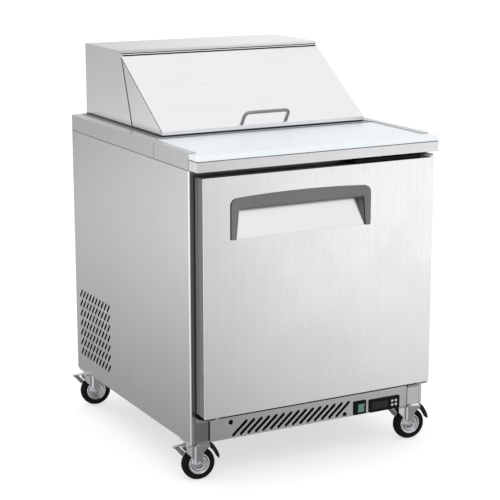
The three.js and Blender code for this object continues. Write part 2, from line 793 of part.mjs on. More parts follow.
function condenserFan() {
  const [x, y, z] = fanCentre;
  const hub = cylinderY(24, y - 12, y + 16, x, z, 20);
  const blades = Array.from({ length: 5 }, (_, i) => {
    const blade = box(-20, 20, -1.5, 1.5, 18, 88);
    blade.rotateZ(THREE.MathUtils.degToRad(28));
    blade.rotateY(THREE.MathUtils.degToRad(72 * i));
    return blade.translate(x, y, z);
  });
  return join(hub, ...blades);
}

function evaporator() {
  const grooves = [];
  for (let i = 0; i < 14; i += 1) {
    const x = -172 + i * 25;
    grooves.push(box(x, x + 16, 590, 618, 474, 636));
  }
  return cut(box(-184, 184, 602, 648, 466, 644), ...grooves);
}

addPart('compressor', compressor(), compressorPaint);
addPart('condenser_coil', condenserCoil(), finAluminium);
addPart('condenser_fan', condenserFan(), blackPlastic);
addPart('evaporator', evaporator(), finAluminium);

// ---------------------------------------------------------------- casters

// Each caster is drawn about its swivel axis: U is the rolling direction, V the axle.
const wheelHalf = 12;
const legInner = 14.5;
const legOuter = 17.5;
const axleRadius = 5;
const forkTop = 96;
const pedalPivot = [34, 92];

function casterPlate() {
  const plate = extrudeZ(shapeOf(chamfered(27, 27, 5)), 106, cabinetBottom - gap);
  return join(plate, cylinderZ(22, 100, 107, 0, 0, 16));
}

function casterFork() {
  const halfLeg = 9.5;
  const legLeft = casterTrail - halfLeg;
  const legRight = casterTrail + halfLeg;
  const legOutline = shapeOf([
    [legLeft, wheelRadius - 5], [casterTrail - 5, wheelRadius - 9.5], [casterTrail + 5, wheelRadius - 9.5],
    [legRight, wheelRadius - 5], [legRight, 68], [legRight + 3, 77], [legRight + 10, 84], [40, 88],
    [40, forkTop], [-24, forkTop], [-24, 80], [legLeft, 53],
  ]);
  const legs = [
    extrudeY(legOutline, -legOuter, -legInner),
    extrudeY(legOutline, legInner, legOuter),
  ];
  const crown = box(-24, 40, 1 - legOuter, legOuter - 1, forkTop - 4, forkTop);
  const swivelHead = cylinderZ(20, forkTop - 1, 99.6, 0, 0, 16);
  const arm = box(-54, 42, -9, 9, forkTop - 3.5, forkTop - 0.5);
  const axle = cylinderY(axleRadius, -legOuter - 4, legOuter + 4, casterTrail, wheelRadius, 12);
  return join(...legs, crown, swivelHead, arm, axle);
}

function casterWheel() {
  const tread = wheelRadius;
  const bore = axleRadius + 0.4;
  const half = wheelHalf;
  const profile = [
    [bore, -half - 1.5], [14, -half - 1.5], [15, -half + 3], [25, -half + 3], [27, -half], [37, -half],
    [tread, -half + 6], [tread, half - 6], [37, half], [27, half], [25, half - 3], [15, half - 3],
    [14, half + 1.5], [bore, half + 1.5], [bore, -half - 1.5],
  ].map(([r, v]) => new THREE.Vector2(r, v));
  return new THREE.LatheGeometry(profile, 24).translate(casterTrail, 0, wheelRadius);
}

// Curved brake pedal hanging from the end of the arm.
function brakePedal() {
  const [u, z] = pedalPivot;
  const outline = [
    [u + 9, z + 1], [u + 9, z - 6], [u + 12.5, z - 14], [u + 20, z - 22], [u + 26, z - 32], [u + 29, z - 38],
    [u + 34.5, z - 43], [u + 34.5, z - 35], [u + 31.5, z - 24], [u + 26, z - 14], [u + 20, z - 4], [u + 15, z + 1],
  ].reverse();
  return extrudeY(shapeOf(outline), -8, 8);
}

const casterPlaces = [
  ['front_left', -casterX, casterFrontY],
  ['front_right', casterX, casterFrontY],
  ['rear_left', -casterX, casterRearY],
  ['rear_right', casterX, casterRearY],
];

for (const [place, x, y] of casterPlaces) {
  const caster = new THREE.Group();
  caster.position.set(x, y, 0);
  caster.rotation.z = THREE.MathUtils.degToRad(casterTurn);
  table.add(caster);
  addPart(`caster_plate_${place}`, casterPlate().rotateZ(-caster.rotation.z), zinc, caster);
  addPart(`caster_fork_${place}`, casterFork(), zinc, caster);
  addPart(`caster_wheel_${place}`, casterWheel(), tyreRubber, caster);
  addPart(`brake_pedal_${place}`, brakePedal(), blackPlastic, caster);
}

// The origin is at the centre of the footprint, from the grip surround to the back panel.
table.position.y = -(cabinetDepth + bezelFrontY) / 2;

export default table;
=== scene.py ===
"""Sandwich prep table: the visible surfaces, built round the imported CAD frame.

Shapes are drawn in millimetres and shown in metres, +Z up, the table facing -Y. Places come from
the boxes of the CAD nodes, so every piece sits where its CAD solid is.
"""

import json
import math
from collections import namedtuple

import bmesh
import bpy
from mathutils import Matrix, Vector


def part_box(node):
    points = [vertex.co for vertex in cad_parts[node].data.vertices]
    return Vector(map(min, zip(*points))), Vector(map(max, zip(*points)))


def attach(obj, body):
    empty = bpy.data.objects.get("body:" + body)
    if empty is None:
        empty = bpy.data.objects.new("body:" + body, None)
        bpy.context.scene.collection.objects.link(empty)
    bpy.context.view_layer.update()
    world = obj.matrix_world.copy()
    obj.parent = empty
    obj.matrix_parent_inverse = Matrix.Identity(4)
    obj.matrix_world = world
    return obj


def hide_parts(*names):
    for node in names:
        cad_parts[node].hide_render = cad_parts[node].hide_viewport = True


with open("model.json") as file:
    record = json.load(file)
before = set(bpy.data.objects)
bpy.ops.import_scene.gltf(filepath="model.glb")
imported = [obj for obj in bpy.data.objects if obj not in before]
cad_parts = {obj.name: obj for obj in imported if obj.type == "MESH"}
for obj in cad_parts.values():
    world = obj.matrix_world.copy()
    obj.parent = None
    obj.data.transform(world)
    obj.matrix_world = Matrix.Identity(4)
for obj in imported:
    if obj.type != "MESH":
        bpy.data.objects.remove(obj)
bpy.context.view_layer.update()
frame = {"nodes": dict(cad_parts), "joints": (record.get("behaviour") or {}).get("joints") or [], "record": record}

MM = 0.001
RECORD = frame["record"]
SLOT_OF = {row["node"]: row["material_slot"] for row in RECORD["subparts"]}
BODY_OF = {node: body for body, nodes in RECORD["behaviour"]["bodies"].items() for node in nodes}
COLOUR_OF = {row["slot"]: tuple(row["base_color"][:3]) for row in RECORD["materials"]}
JOINTS = {row["name"]: row for row in frame["joints"]}

Box = namedtuple("Box", "x0 y0 z0 x1 y1 z1")


def box_of(node):
    """The node's box at rest, in millimetres."""
    low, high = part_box(node)
    return Box(*(value / MM for value in (*low, *high)))


# ---------------------------------------------------------------- node materials


class Nodes:
    """Adds nodes to a tree, with the links and numbers that they need."""

    def __init__(self, tree):
        self.tree = tree

    def link(self, source, target):
        self.tree.links.new(source, target)

    def node(self, kind, **values):
        made = self.tree.nodes.new("ShaderNode" + kind)
        for name, value in values.items():
            setattr(made, name, value)
        return made

    def feed(self, sockets, values):
        """Gives each socket its value: a number, a colour, or a link from an output."""
        for socket, value in zip(sockets, values):
            if isinstance(value, (int, float)):
                socket.default_value = value
            elif isinstance(value, tuple):
                socket.default_value = (*value, 1)
            else:
                self.link(value, socket)

    def span(self, value, low, high, start=0.3, end=0.7, **values):
        made = self.node("MapRange", **values)
        names = ("Value", "From Min", "From Max", "To Min", "To Max")
        self.feed([made.inputs[name] for name in names], (value, start, end, low, high))
        return made.outputs["Result"]

    def math(self, operation, a, b):
        made = self.node("Math", operation=operation)
        self.feed(made.inputs, (a, b))
        return made.outputs["Value"]


class Look(Nodes):
    """One procedural material."""

    def __init__(self, name):
        self.material = bpy.data.materials.new(name)
        self.material.use_nodes = True
        super().__init__(self.material.node_tree)
        self.shader = self.tree.nodes["Principled BSDF"]
        self.place = self.node("TexCoord").outputs["Object"]

    def set(self, **values):
        for name, value in values.items():
            self.shader.inputs[name.replace("_", " ")].default_value = value

    def stretched(self, scale, turn=(0, 0, 0)):
        mapping = self.node("Mapping")
        mapping.inputs["Scale"].default_value = scale
        mapping.inputs["Rotation"].default_value = turn
        self.link(self.place, mapping.inputs["Vector"])
        return mapping.outputs["Vector"]

    def noise(self, scale, detail=4, roughness=0.5, where=None):
        made = self.node("TexNoise")
        names = ("Vector", "Scale", "Detail", "Roughness")
        self.feed([made.inputs[name] for name in names], (where or self.place, scale, detail, roughness))
        return made.outputs["Fac"]

    def mix(self, factor, a, b):
        made = self.node("Mix", data_type="RGBA")
        self.feed((made.inputs[0], made.inputs[6], made.inputs[7]), (factor, a, b))
        return made.outputs[2]

    def bump(self, height, strength, distance=0.0003):
        made = self.node("Bump")
        names = ("Height", "Strength", "Distance")
        self.feed([made.inputs[name] for name in names], (height, strength, distance))
        self.link(made.outputs["Normal"], self.shader.inputs["Normal"])

    def colour(self, value):
        self.link(value, self.shader.inputs["Base Color"])

    def roughness(self, value):
        self.link(value, self.shader.inputs["Roughness"])


def shade(colour, factor):
    return tuple(min(1.0, channel * factor) for channel in colour)


def brushed_steel(name, colour, grain, roughness, smudge=0.035):
    """Stainless sheet: fine scratches along one axis, longer soft streaks, and faint cloudy smudges."""
    look = Look(name)
    look.set(Metallic=1.0)
    fine = look.stretched([26 if axis == grain else 2400 for axis in "XYZ"])
    wide = look.stretched([1.6 if axis == grain else 120 for axis in "XYZ"])
    scratches = look.noise(1.0, 3, 0.6, fine)
    streaks = look.noise(1.0, 4, 0.6, wide)
    clouds = look.noise(5.0, 5, 0.55)
    tone = look.mix(look.span(streaks, 0, 1), shade(colour, 0.985), shade(colour, 1.012))
    look.colour(look.mix(look.span(clouds, 0, smudge * 4, 0.45, 0.75), tone, shade(colour, 0.93)))
    grained = look.span(scratches, roughness - 0.03, roughness + 0.03)
    look.roughness(look.math("ADD", grained, look.span(clouds, 0, smudge)))
    look.bump(scratches, 0.03, 0.0002)
    return look.material


def zinc_plating(name, colour, roughness=0.3):
    """Zinc plating: a cool metal with a mottled, slightly yellowed bloom and a rolled texture."""
    look = Look(name)
    look.set(Metallic=1.0)
    mottle = look.noise(120, 6, 0.62)
    bloom = look.noise(30, 3, 0.5)
    base = look.mix(look.span(mottle, 0, 1), shade(colour, 0.97), shade(colour, 1.03))
    look.colour(look.mix(look.span(bloom, 0, 0.15, 0.5, 0.75), base, shade(colour, 0.88)))
    look.roughness(look.span(mottle, roughness - 0.02, roughness + 0.03))
    look.bump(look.noise(900, 3, 0.6), 0.05, 0.0002)
    return look.material


def moulded(name, colour, roughness=0.5, grain=900, depth=0.16, worn=0.2, specular=0.5):
    """Moulded plastic: a fine spark-eroded grain, uneven sheen, and slightly paler scuffs."""
    look = Look(name)
    look.set(Specular_IOR_Level=specular)
    scuffs = look.noise(38, 6, 0.65)
    tone = look.noise(6, 3, 0.5)
    base = look.mix(look.span(tone, 0, 1), shade(colour, 0.93), shade(colour, 1.06))
    scuffed = tuple(channel * 0.9 + 0.012 for channel in colour)
    look.colour(look.mix(look.span(scuffs, 0, worn, 0.56, 0.8), base, scuffed))
    look.roughness(look.span(scuffs, roughness - 0.06, roughness + 0.1))
    look.bump(look.noise(grain, 3, 0.6), depth)
    return look.material


def board_polyethylene(name, colour):
    """Cutting board: waxy white polyethylene with a matte grain and knife marks in three directions."""
    look = Look(name)
    look.set(Subsurface_Weight=0.1, Subsurface_Scale=0.008, Specular_IOR_Level=0.4)
    look.set(Subsurface_Radius=(1.0, 0.95, 0.9))
    tone = look.noise(3.5, 4, 0.5)
    look.colour(look.mix(look.span(tone, 0, 1), shade(colour, 0.985), shade(colour, 1.01)))
    cuts = 0.0
    for angle, pitch in ((0.35, 62), (-0.5, 47), (1.2, 38)):
        across = look.stretched((pitch * 18, pitch * 0.35, 1), (0, 0, angle))
        mark = look.span(look.noise(1.0, 2, 0.5, across), 0, 1, 0.7, 0.74)
        cuts = look.math("MAXIMUM", mark, cuts)
    height = look.math("SUBTRACT", look.noise(1400, 2, 0.5), look.math("MULTIPLY", cuts, 0.9))
    look.roughness(look.span(look.noise(14, 5, 0.6), 0.3, 0.4))
    look.bump(height, 0.04, 0.0002)
    return look.material


def stucco_aluminium(name, colour):
    """Embossed aluminium liner: rounded orange-peel cells on a satin metal."""
    look = Look(name)
    look.set(Metallic=0.9)
    cells = look.node("TexVoronoi", feature="SMOOTH_F1")
    cells.inputs["Scale"].default_value = 210
    look.link(look.place, cells.inputs["Vector"])
    tone = look.noise(8, 4, 0.55)
    look.colour(look.mix(look.span(tone, 0, 1), shade(colour, 0.93), shade(colour, 1.04)))
    look.roughness(look.span(tone, 0.34, 0.46))
    look.bump(cells.outputs["Distance"], 0.4, 0.0012)
    return look.material


def patchy(name, patches, tones, gloss, grain=None, spread=(0, 1), **values):
    """Two tones and two levels of gloss in soft patches, over a fine grain if one is given."""
    look = Look(name)
    look.set(**values)
    tone = look.noise(*patches)
    look.colour(look.mix(look.span(tone, *spread), *tones))
    look.roughness(look.span(tone, *gloss))
    if grain:
        scale, detail, roughness, *depth = grain
        look.bump(look.noise(scale, detail, roughness), *depth)
    return look.material


def tinted(colour, dark, light):
    return shade(colour, dark), shade(colour, light)


def tyre_rubber(name, colour):
    """Tyre: near-black rubber with a thin dusty bloom and a fine pitted surface."""
    return patchy(name, (42, 6, 0.65), tinted(colour, 0.6, 1.6), (0.5, 0.7), (1500, 3, 0.6, 0.15),
                  (0, 0.3, 0.5, 0.8), Specular_IOR_Level=0.03)


def soft_rubber(name, colour):
    """Extruded seal: matte rubber with a faint grain and dusty patches."""
    return patchy(name, (60, 4, 0.6), tinted(colour, 0.85, 1.2), (0.5, 0.66), (800, 2, 0.5, 0.1),
                  Specular_IOR_Level=0.35)


def green_lens(name, colour):
    """Translucent rocker: tinted plastic, uneven where the lamp housing shows through."""
    return patchy(name, (130, 3, 0.5), tinted(colour, 0.75, 1.2), (0.18, 0.28), (600, 2, 0.5, 0.05),
                  Transmission_Weight=0.2, IOR=1.49)


def coated(name, colour, roughness=0.36, grain=420, dusty=0.0):
    """Paint or dip coating: a slight orange peel under a thin gloss, dusty where it collects."""
    return patchy(name, (40, 4, 0.6), tinted(colour, 0.92, 1.0 + dusty),
                  (roughness - 0.06, roughness + 0.08), (grain, 2, 0.5, 0.12),
                  Coat_Weight=0.3, Coat_Roughness=0.15)


def display_glass(name, colour):
    """Smoked window over a display that is switched off."""
    return patchy(name, (90, 2, 0.5), (colour, (0.009, 0.012, 0.011)), (0.12, 0.2),
                  Specular_IOR_Level=0.3)


def drawn_copper(name, colour):
    """Copper tube: drawn metal, browned in patches."""
    return patchy(name, (45, 5, 0.6), (colour, (0.8, 0.4, 0.24)), (0.25, 0.42), (600, 2, 0.5, 0.06, 0.0002),
                  Metallic=1.0)


# Each row: look, maker, colour or the record slot it comes from, factor on it, then the maker's own numbers.
LOOK_ROWS = (
    ("side_steel", brushed_steel, "side_steel", 1, "Z", 0.22),
    ("body_steel", brushed_steel, "body_steel", 0.8, "X", 0.26),
    ("counter_steel", brushed_steel, "counter_steel", 0.76, "X", 0.26),
    # The front frame's left part takes a darker copy of the body steel (painted shade); its right post and the
    # right panel flange take a lighter copy (painted light).
    ("frame_steel", brushed_steel, "body_steel", 0.36, "Z", 0.28),
    ("frame_light_steel", brushed_steel, "body_steel", 0.9, "Z", 0.26),
    # The left panel flange: a darker copy of the body steel, painted shade.
    ("flange_steel", brushed_steel, "body_steel", 0.62, "Z", 0.28),
    # The panel folds: a brighter copy of the side steel, a painted highlight along the bend.
    ("fold_steel", brushed_steel, "side_steel", 1.35, "Z", 0.2),
    # The board shelf's nose: a lighter copy of the counter steel, painted light.
    ("nose_steel", brushed_steel, "counter_steel", 1.02, "X", 0.26),
    ("hood_steel", brushed_steel, "hood_steel", 1, "X", 0.22),
    ("door_steel", brushed_steel, "door_steel", 1.1, "Z", 0.24),
    ("pan_steel", brushed_steel, "pan_steel", 1, "X", 0.2, 0.03),
    ("bar_steel", brushed_steel, "bar_steel", 1, "X", 0.22),
    ("liner_aluminium", stucco_aluminium, "liner_aluminium", 1),
    ("shelf_wire", coated, "shelf_wire", 1),
    ("black_plastic", moulded, "black_plastic", 0.6, 0.3, 700, 0.06, 0.03, 0.06),
    ("green_lens", green_lens, (0.13, 0.27, 0.24), 1),
    ("button_grey", moulded, "button_grey", 1, 0.45, 900, 0.06, 0.1),
    ("cutting_board", board_polyethylene, (0.75, 0.8, 0.83), 1),
    ("gasket_rubber", soft_rubber, "gasket_rubber", 1),
    ("handle_plastic", moulded, "handle_plastic", 1, 0.5, 850, 0.2, 0.3),
    ("zinc_plate", zinc_plating, "zinc_plate", 1),
    ("compressor_paint", coated, "compressor_paint", 1, 0.45, 320, 1.2),
    ("fin_aluminium", brushed_steel, "fin_aluminium", 1, "Z", 0.38),
    ("fan_plastic", moulded, "fan_plastic", 1),
    ("caster_zinc", zinc_plating, "caster_zinc", 1, 0.24),
    ("caster_wheel", tyre_rubber, "caster_wheel", 1),
    ("pedal_plastic", moulded, "pedal_plastic", 1, 0.5, 700, 0.15, 0.08, 0.12),
    ("frame_plastic", moulded, (0.14, 0.142, 0.136), 1, 0.42, 800, 0.12, 0.1, 0.3),
    # Near-black: painted shade, for the sheets and strips set where gaps, slots and edges fall into shade.
    ("dust_screen", moulded, (0.004, 0.004, 0.004), 1, 0.8, 2200, 0.5, 0.02, 0.0),
    # The hinge and rest brackets: a darker copy of the zinc plating, painted shade.
    ("bracket_zinc", zinc_plating, "zinc_plate", 0.45),
    ("grip_bar", brushed_steel, "bar_steel", 0.6, "X", 0.3),
    ("display", display_glass, (0.004, 0.006, 0.006), 1),
    ("copper", drawn_copper, (0.52, 0.2, 0.09), 1),
)
LOOKS = {
    name: maker(name, shade(COLOUR_OF.get(source, source), factor), *numbers)
    for name, maker, source, factor, *numbers in LOOK_ROWS
}


# ---------------------------------------------------------------- outlines


def fillet(points, radius, steps=6):
    """Rounds the corners of a closed outline; the radius is one number or one for each corner."""
    count = len(points)
    radii = radius if isinstance(radius, (list, tuple)) else [radius] * count
    rounded = []
    for i, size in enumerate(radii):
        corner = Vector(points[i])
        if size == 0:
            rounded.append(tuple(corner))
            continue
        back = Vector(points[i - 1]) - corner
        ahead = Vector(points[(i + 1) % count]) - corner
        half = back.angle(ahead) / 2
        reach = min(size / math.tan(half), 0.49 * back.length, 0.49 * ahead.length)
        real = reach * math.tan(half)
        centre = corner + (back.normalized() + ahead.normalized()).normalized() * real / math.sin(half)
        start = corner + back.normalized() * reach - centre
        end = corner + ahead.normalized() * reach - centre
        first = math.atan2(start.y, start.x)
        sweep = (math.atan2(end.y, end.x) - first + math.pi) % (2 * math.pi) - math.pi
        for k in range(steps + 1):
            angle = first + sweep * k / steps
            rounded.append((centre.x + real * math.cos(angle), centre.y + real * math.sin(angle)))
    return rounded


def rectangle(u0, u1, v0, v1, radius=0, steps=6):
    corners = [(u0, v0), (u1, v0), (u1, v1), (u0, v1)]
    return fillet(corners, radius, steps) if radius else corners


def front_of(box, across, up, radius=0):
    """The box's front outline, set in by one number or by one for each edge."""
    left, right = across if isinstance(across, tuple) else (across, across)
    bottom, top = up if isinstance(up, tuple) else (up, up)
    return rectangle(box.x0 + left, box.x1 - right, box.z0 + bottom, box.z1 - top, radius)


def on_side(side, a, b):
    """Two places on the left (-1) or the right (1) of the middle, the lower one first."""
    return sorted((side * a, side * b))


def circle(u, v, radius, sides=24):
    turns = [2 * math.pi * i / sides for i in range(sides)]
    return [(u + radius * math.cos(turn), v + radius * math.sin(turn)) for turn in turns]


def stadium(start, end, radius):
    """A slot with round ends whose tips touch the two given points."""
    steps = 6
    along = (Vector(end) - Vector(start)).normalized()
    across = Vector((-along.y, along.x))
    outline = []
    for centre, way in ((Vector(end) - along * radius, 1), (Vector(start) + along * radius, -1)):
        for k in range(steps + 1):
            angle = math.pi * (0.5 - k / steps)
            spot = centre + way * radius * (math.cos(angle) * along + math.sin(angle) * across)
            outline.append(tuple(spot))
    return outline


# ---------------------------------------------------------------- solids, in millimetres

AXES = {
    "X": lambda u, v, w: (w, u, v),
    "Y": lambda u, v, w: (u, w, v),
    "Z": lambda u, v, w: (u, v, w),
}


def plate(outline, low, high, facing, holes=(), rounding=0.5, steps=3):
    """A sheet between two planes across the facing axis, with holes and rounded edges."""
    curve = bpy.data.curves.new("outline", "CURVE")
    curve.dimensions = "2D"
    curve.fill_mode = "BOTH"
    curve.extrude = (high - low) / 2 - rounding
    curve.bevel_depth = rounding
    curve.bevel_resolution = steps - 1
    curve.offset = -rounding
    for loop, turn in [(outline, 1)] + [(hole, -1) for hole in holes]:
        area = sum(a[0] * b[1] - b[0] * a[1] for a, b in zip(loop, loop[1:] + loop[:1]))
        spline = curve.splines.new("POLY")
        spline.points.add(len(loop) - 1)
        spline.use_cyclic_u = True
        for point, (u, v) in zip(spline.points, loop if area * turn > 0 else loop[::-1]):
            point.co = (u, v, 0, 1)
    holder = bpy.data.objects.new("outline", curve)
    mesh = bpy.data.meshes.new_from_object(holder)
    bm = bmesh.new()
    bm.from_mesh(mesh)
    bpy.data.objects.remove(holder)
    bpy.data.curves.remove(curve)
    bpy.data.meshes.remove(mesh)
    bmesh.ops.remove_doubles(bm, verts=bm.verts, dist=0.001)
    middle = (low + high) / 2
    for vert in bm.verts:
        vert.co = AXES[facing](vert.co.x, vert.co.y, vert.co.z + middle)
    return bm


def round_edges(bm, width, segments=2):
    """Bevels every edge that turns by more than a slight fold."""
    slight_fold = math.radians(28)
    edges = [
        edge for edge in bm.edges
        if len(edge.link_faces) == 2 and edge.calc_face_angle() > slight_fold
    ]
    bmesh.ops.bevel(
        bm, geom=edges, offset=width, offset_type="OFFSET", segments=segments, profile=0.5,
        affect="EDGES", clamp_overlap=True,
    )
    return bm


def slab(x0, x1, y0, y1, z0, z1, rounding=0.5, segments=2):
    bm = bmesh.new()
    size = Matrix.Diagonal((x1 - x0, y1 - y0, z1 - z0, 1))
    centre = Matrix.Translation(((x0 + x1) / 2, (y0 + y1) / 2, (z0 + z1) / 2))
    bmesh.ops.create_cube(bm, size=1, matrix=centre @ size)
    return round_edges(bm, rounding, segments)


def loft(loops, closed=False):
    """Bridges loops of equal count; the ends are capped, or joined when the section is closed."""
    bm = bmesh.new()
    rows = [[bm.verts.new(point) for point in loop] for loop in loops]
    count = len(loops[0])
    pairs = list(zip(rows, rows[1:])) + ([(rows[-1], rows[0])] if closed else [])
    for near, far in pairs:
        for i in range(count):
            j = (i + 1) % count
            bm.faces.new((near[i], near[j], far[j], far[i]))
    if not closed:
        bm.faces.new(rows[0])
        bm.faces.new(rows[-1])
    return bm


def framed(box, facing, section, radius, closed=True):
    """A rounded rectangle swept by a section of (inset, place along the facing axis) points."""
    u0, v0, u1, v1 = box
    loops = []
    for inset, w in section:
        outline = rectangle(u0 + inset, u1 - inset, v0 + inset, v1 - inset, max(radius - inset, 0.4))
        loops.append([AXES[facing](u, v, w) for u, v in outline])
    return loft(loops, closed)


def lathe(profile, centre, facing="Z", segments=40):
    """Revolves a closed (radius, place) profile about the facing axis through the centre."""
    loops = []
    for i in range(segments):
        turn = 2 * math.pi * i / segments
        loops.append([
            Vector(AXES[facing](r * math.cos(turn), r * math.sin(turn), w)) + Vector(centre)
            for r, w in profile
        ])
    bm = loft(loops, True)
    bmesh.ops.remove_doubles(bm, verts=bm.verts, dist=0.001)
    loose = [face for face in bm.faces if face.calc_area() < 1e-6]
    bmesh.ops.delete(bm, geom=loose, context="FACES_ONLY")
    return bm


def bent(points, radius, steps=7, cyclic=False):
    """A path through the points with each corner turned into a curve."""
    path = []
    count = len(points)
    for i, point in enumerate(points):
        here = Vector(point)
        if not cyclic and i in (0, count - 1):
            path.append(here)
            continue
        back = Vector(points[i - 1]) - here
        ahead = Vector(points[(i + 1) % count]) - here
        start = here + back.normalized() * min(radius, 0.48 * back.length)
        end = here + ahead.normalized() * min(radius, 0.48 * ahead.length)
        for k in range(steps + 1):
            t = k / steps
            path.append((1 - t) ** 2 * start + 2 * t * (1 - t) * here + t * t * end)
    return path


def tube(path, radius, sides=12, cyclic=False):
    """A round bar along a path of 3-D points."""
    count = len(path)
    loops = []
    normal = None
    for i, point in enumerate(path):
        before = path[i - 1] if cyclic or i > 0 else point
        after = path[(i + 1) % count] if cyclic or i < count - 1 else point
        along = (Vector(after) - Vector(before)).normalized()
        if normal is None:
            normal = along.orthogonal()
        normal = (normal - along * normal.dot(along)).normalized()
        side = along.cross(normal)
        loops.append([
            Vector(point) + radius * (math.cos(a) * normal + math.sin(a) * side)
            for a in (2 * math.pi * k / sides for k in range(sides))
        ])
    return loft(loops, cyclic)


def merged(*solids):
    """Joins several solids into one mesh, each still closed."""
    first = solids[0]
    for other in solids[1:]:
        mesh = bpy.data.meshes.new("part")
        other.to_mesh(mesh)
        other.free()
        first.from_mesh(mesh)
        bpy.data.meshes.remove(mesh)
    return first


def screw_head(centre, facing, out, radius):
    """Pan head with a recess, standing off a face towards the out direction."""
    profile = [
        (0, 0.9), (radius * 0.28, 0.9), (radius * 0.36, 1.7), (radius * 0.6, 1.9), (radius * 0.85, 1.4),
        (radius, 0.5), (radius, 0), (0, 0),
    ]
    return lathe([(r, out * w) for r, w in profile], centre, facing, 20)


def hex_head(centre, facing, out, radius, height):
    """Hexagon head with a chamfered face."""
    u, v, w = {"X": (1, 2, 0), "Y": (0, 2, 1), "Z": (0, 1, 2)}[facing]
    low, high = sorted((centre[w], centre[w] + out * height))
    return plate(circle(centre[u], centre[v], radius, 6), low, high, facing, rounding=0.45, steps=2)


# ---------------------------------------------------------------- pieces


def show(name, bm, body, slot, nodes=(), look=None, sharp=50):
    """Turns a solid into a shown piece: metres, smooth up to the sharp angle, riding on its body."""
    bmesh.ops.recalc_face_normals(bm, faces=bm.faces)
    mesh = bpy.data.meshes.new(name)
    bm.to_mesh(mesh)
    bm.free()
    mesh.transform(Matrix.Scale(MM, 4))
    mesh.materials.append(LOOKS[look or slot])
    mesh.polygons.foreach_set("use_smooth", [True] * len(mesh.polygons))
    mesh.set_sharp_from_angle(angle=math.radians(sharp))
    piece = bpy.data.objects.new(name, mesh)
    bpy.context.scene.collection.objects.link(piece)
    even = piece.modifiers.new("even_normals", "WEIGHTED_NORMAL")
    even.keep_sharp = True
    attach(piece, body)
    if nodes:
        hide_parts(*nodes)


def stand_in(node, bm, name=None, look=None, sharp=50):
    """Shows a solid in place of a CAD node, on its body and with its slot."""
    show(name or node + "_surface", bm, BODY_OF[node], SLOT_OF[node], (node,), look, sharp)


def cad_shape(node, width=0.8, segments=2):
    """The CAD node's own shape in millimetres, with flat faces merged and edges rounded."""
    bm = bmesh.new()
    bm.from_mesh(frame["nodes"][node].data)
    bmesh.ops.remove_doubles(bm, verts=bm.verts, dist=0.004 * MM)
    bmesh.ops.dissolve_limit(
        bm, angle_limit=math.radians(1), verts=bm.verts, edges=bm.edges, use_dissolve_boundaries=False,
    )
    bm.transform(Matrix.Scale(1 / MM, 4))
    return round_edges(bm, width, segments)


# ---------------------------------------------------------------- cabinet shell

SHEET = 2.0  # thickness of the cabinet's steel


def louvre_slots(rear_y, bottom_z):
    """Ten by seven slanted slots, placed from the rear bottom corner of the side panel."""
    columns, rows = 10, 7
    pitch_y, pitch_z = 21.6, 28.7
    first_y, first_z = rear_y - 243, bottom_z + 242
    lean, drop, radius = 20, 22, 3.8
    slots = []
    for row in range(rows):
        for column in range(columns):
            y = first_y + column * pitch_y
            z = first_z - row * pitch_z
            slots.append(stadium((y, z + 1), (y + lean, z - drop - 1), radius))
    return slots


def build_side_panels():
    """Slotted skins with foam and a black screen behind them, which paints the shade seen through the slots; each
    front edge is folded round.
    """
    bend = 3.4
    # The left flange gets a darker copy of the steel as painted shade, the right one a lighter copy as painted
    # light.
    for side, place, tone in ((-1, "left", "flange_steel"), (1, "right", "frame_light_steel")):
        node = place + "_side_panel"
        box = box_of(node)
        outer = box.x0 if side < 0 else box.x1

        def across(near, far):
            return sorted((outer - side * near, outer - side * far))

        skin = plate(
            rectangle(box.y0 + bend, box.y1, box.z0, box.z1), *across(0, SHEET), "X",
            louvre_slots(box.y1, box.z0), 0.2,
        )
        foam = slab(
            *across(SHEET + 0.2, 41), box.y0 + 43, box.y1 - 6, box.z0 + 249, box.z1 - 4, 1,
        )
        stand_in(node, merged(skin, foam))
        # Black sheet behind the slots: painted shade in place of the dark inside of the cabinet.
        screen = slab(
            *across(SHEET + 2.5, SHEET + 4), box.y1 - 262, box.y1 - 12, box.z0 + 22, box.z0 + 246, 0.5,
        )
        show(f"{place}_dust_screen", screen, "cabinet", "black_plastic", look="dust_screen")
        flange = slab(
            *across(3.6, 10), box.y0 + 0.2, box.y0 + SHEET, box.z0 + 0.4, box.z1 - 0.4, 0.4,
        )
        show(f"{place}_panel_flange", flange, "cabinet", SLOT_OF[node], look=tone)
        arc = [
            (outer - side * bend * (1 - math.cos(turn)), box.y0 + bend * (1 - math.sin(turn)))
            for turn in (math.radians(11.25 * step) for step in range(9))
        ]
        inner_corner = [
            (outer - side * bend, box.y0 + SHEET), (outer - side * SHEET, box.y0 + bend),
        ]
        # The fold takes a brighter copy of the side steel: a painted highlight along the bend.
        fold = plate(arc + inner_corner, box.z0, box.z1, "Z", rounding=0.2, steps=2)
        show(f"{place}_panel_fold", fold, "cabinet", SLOT_OF[node], look="fold_steel")


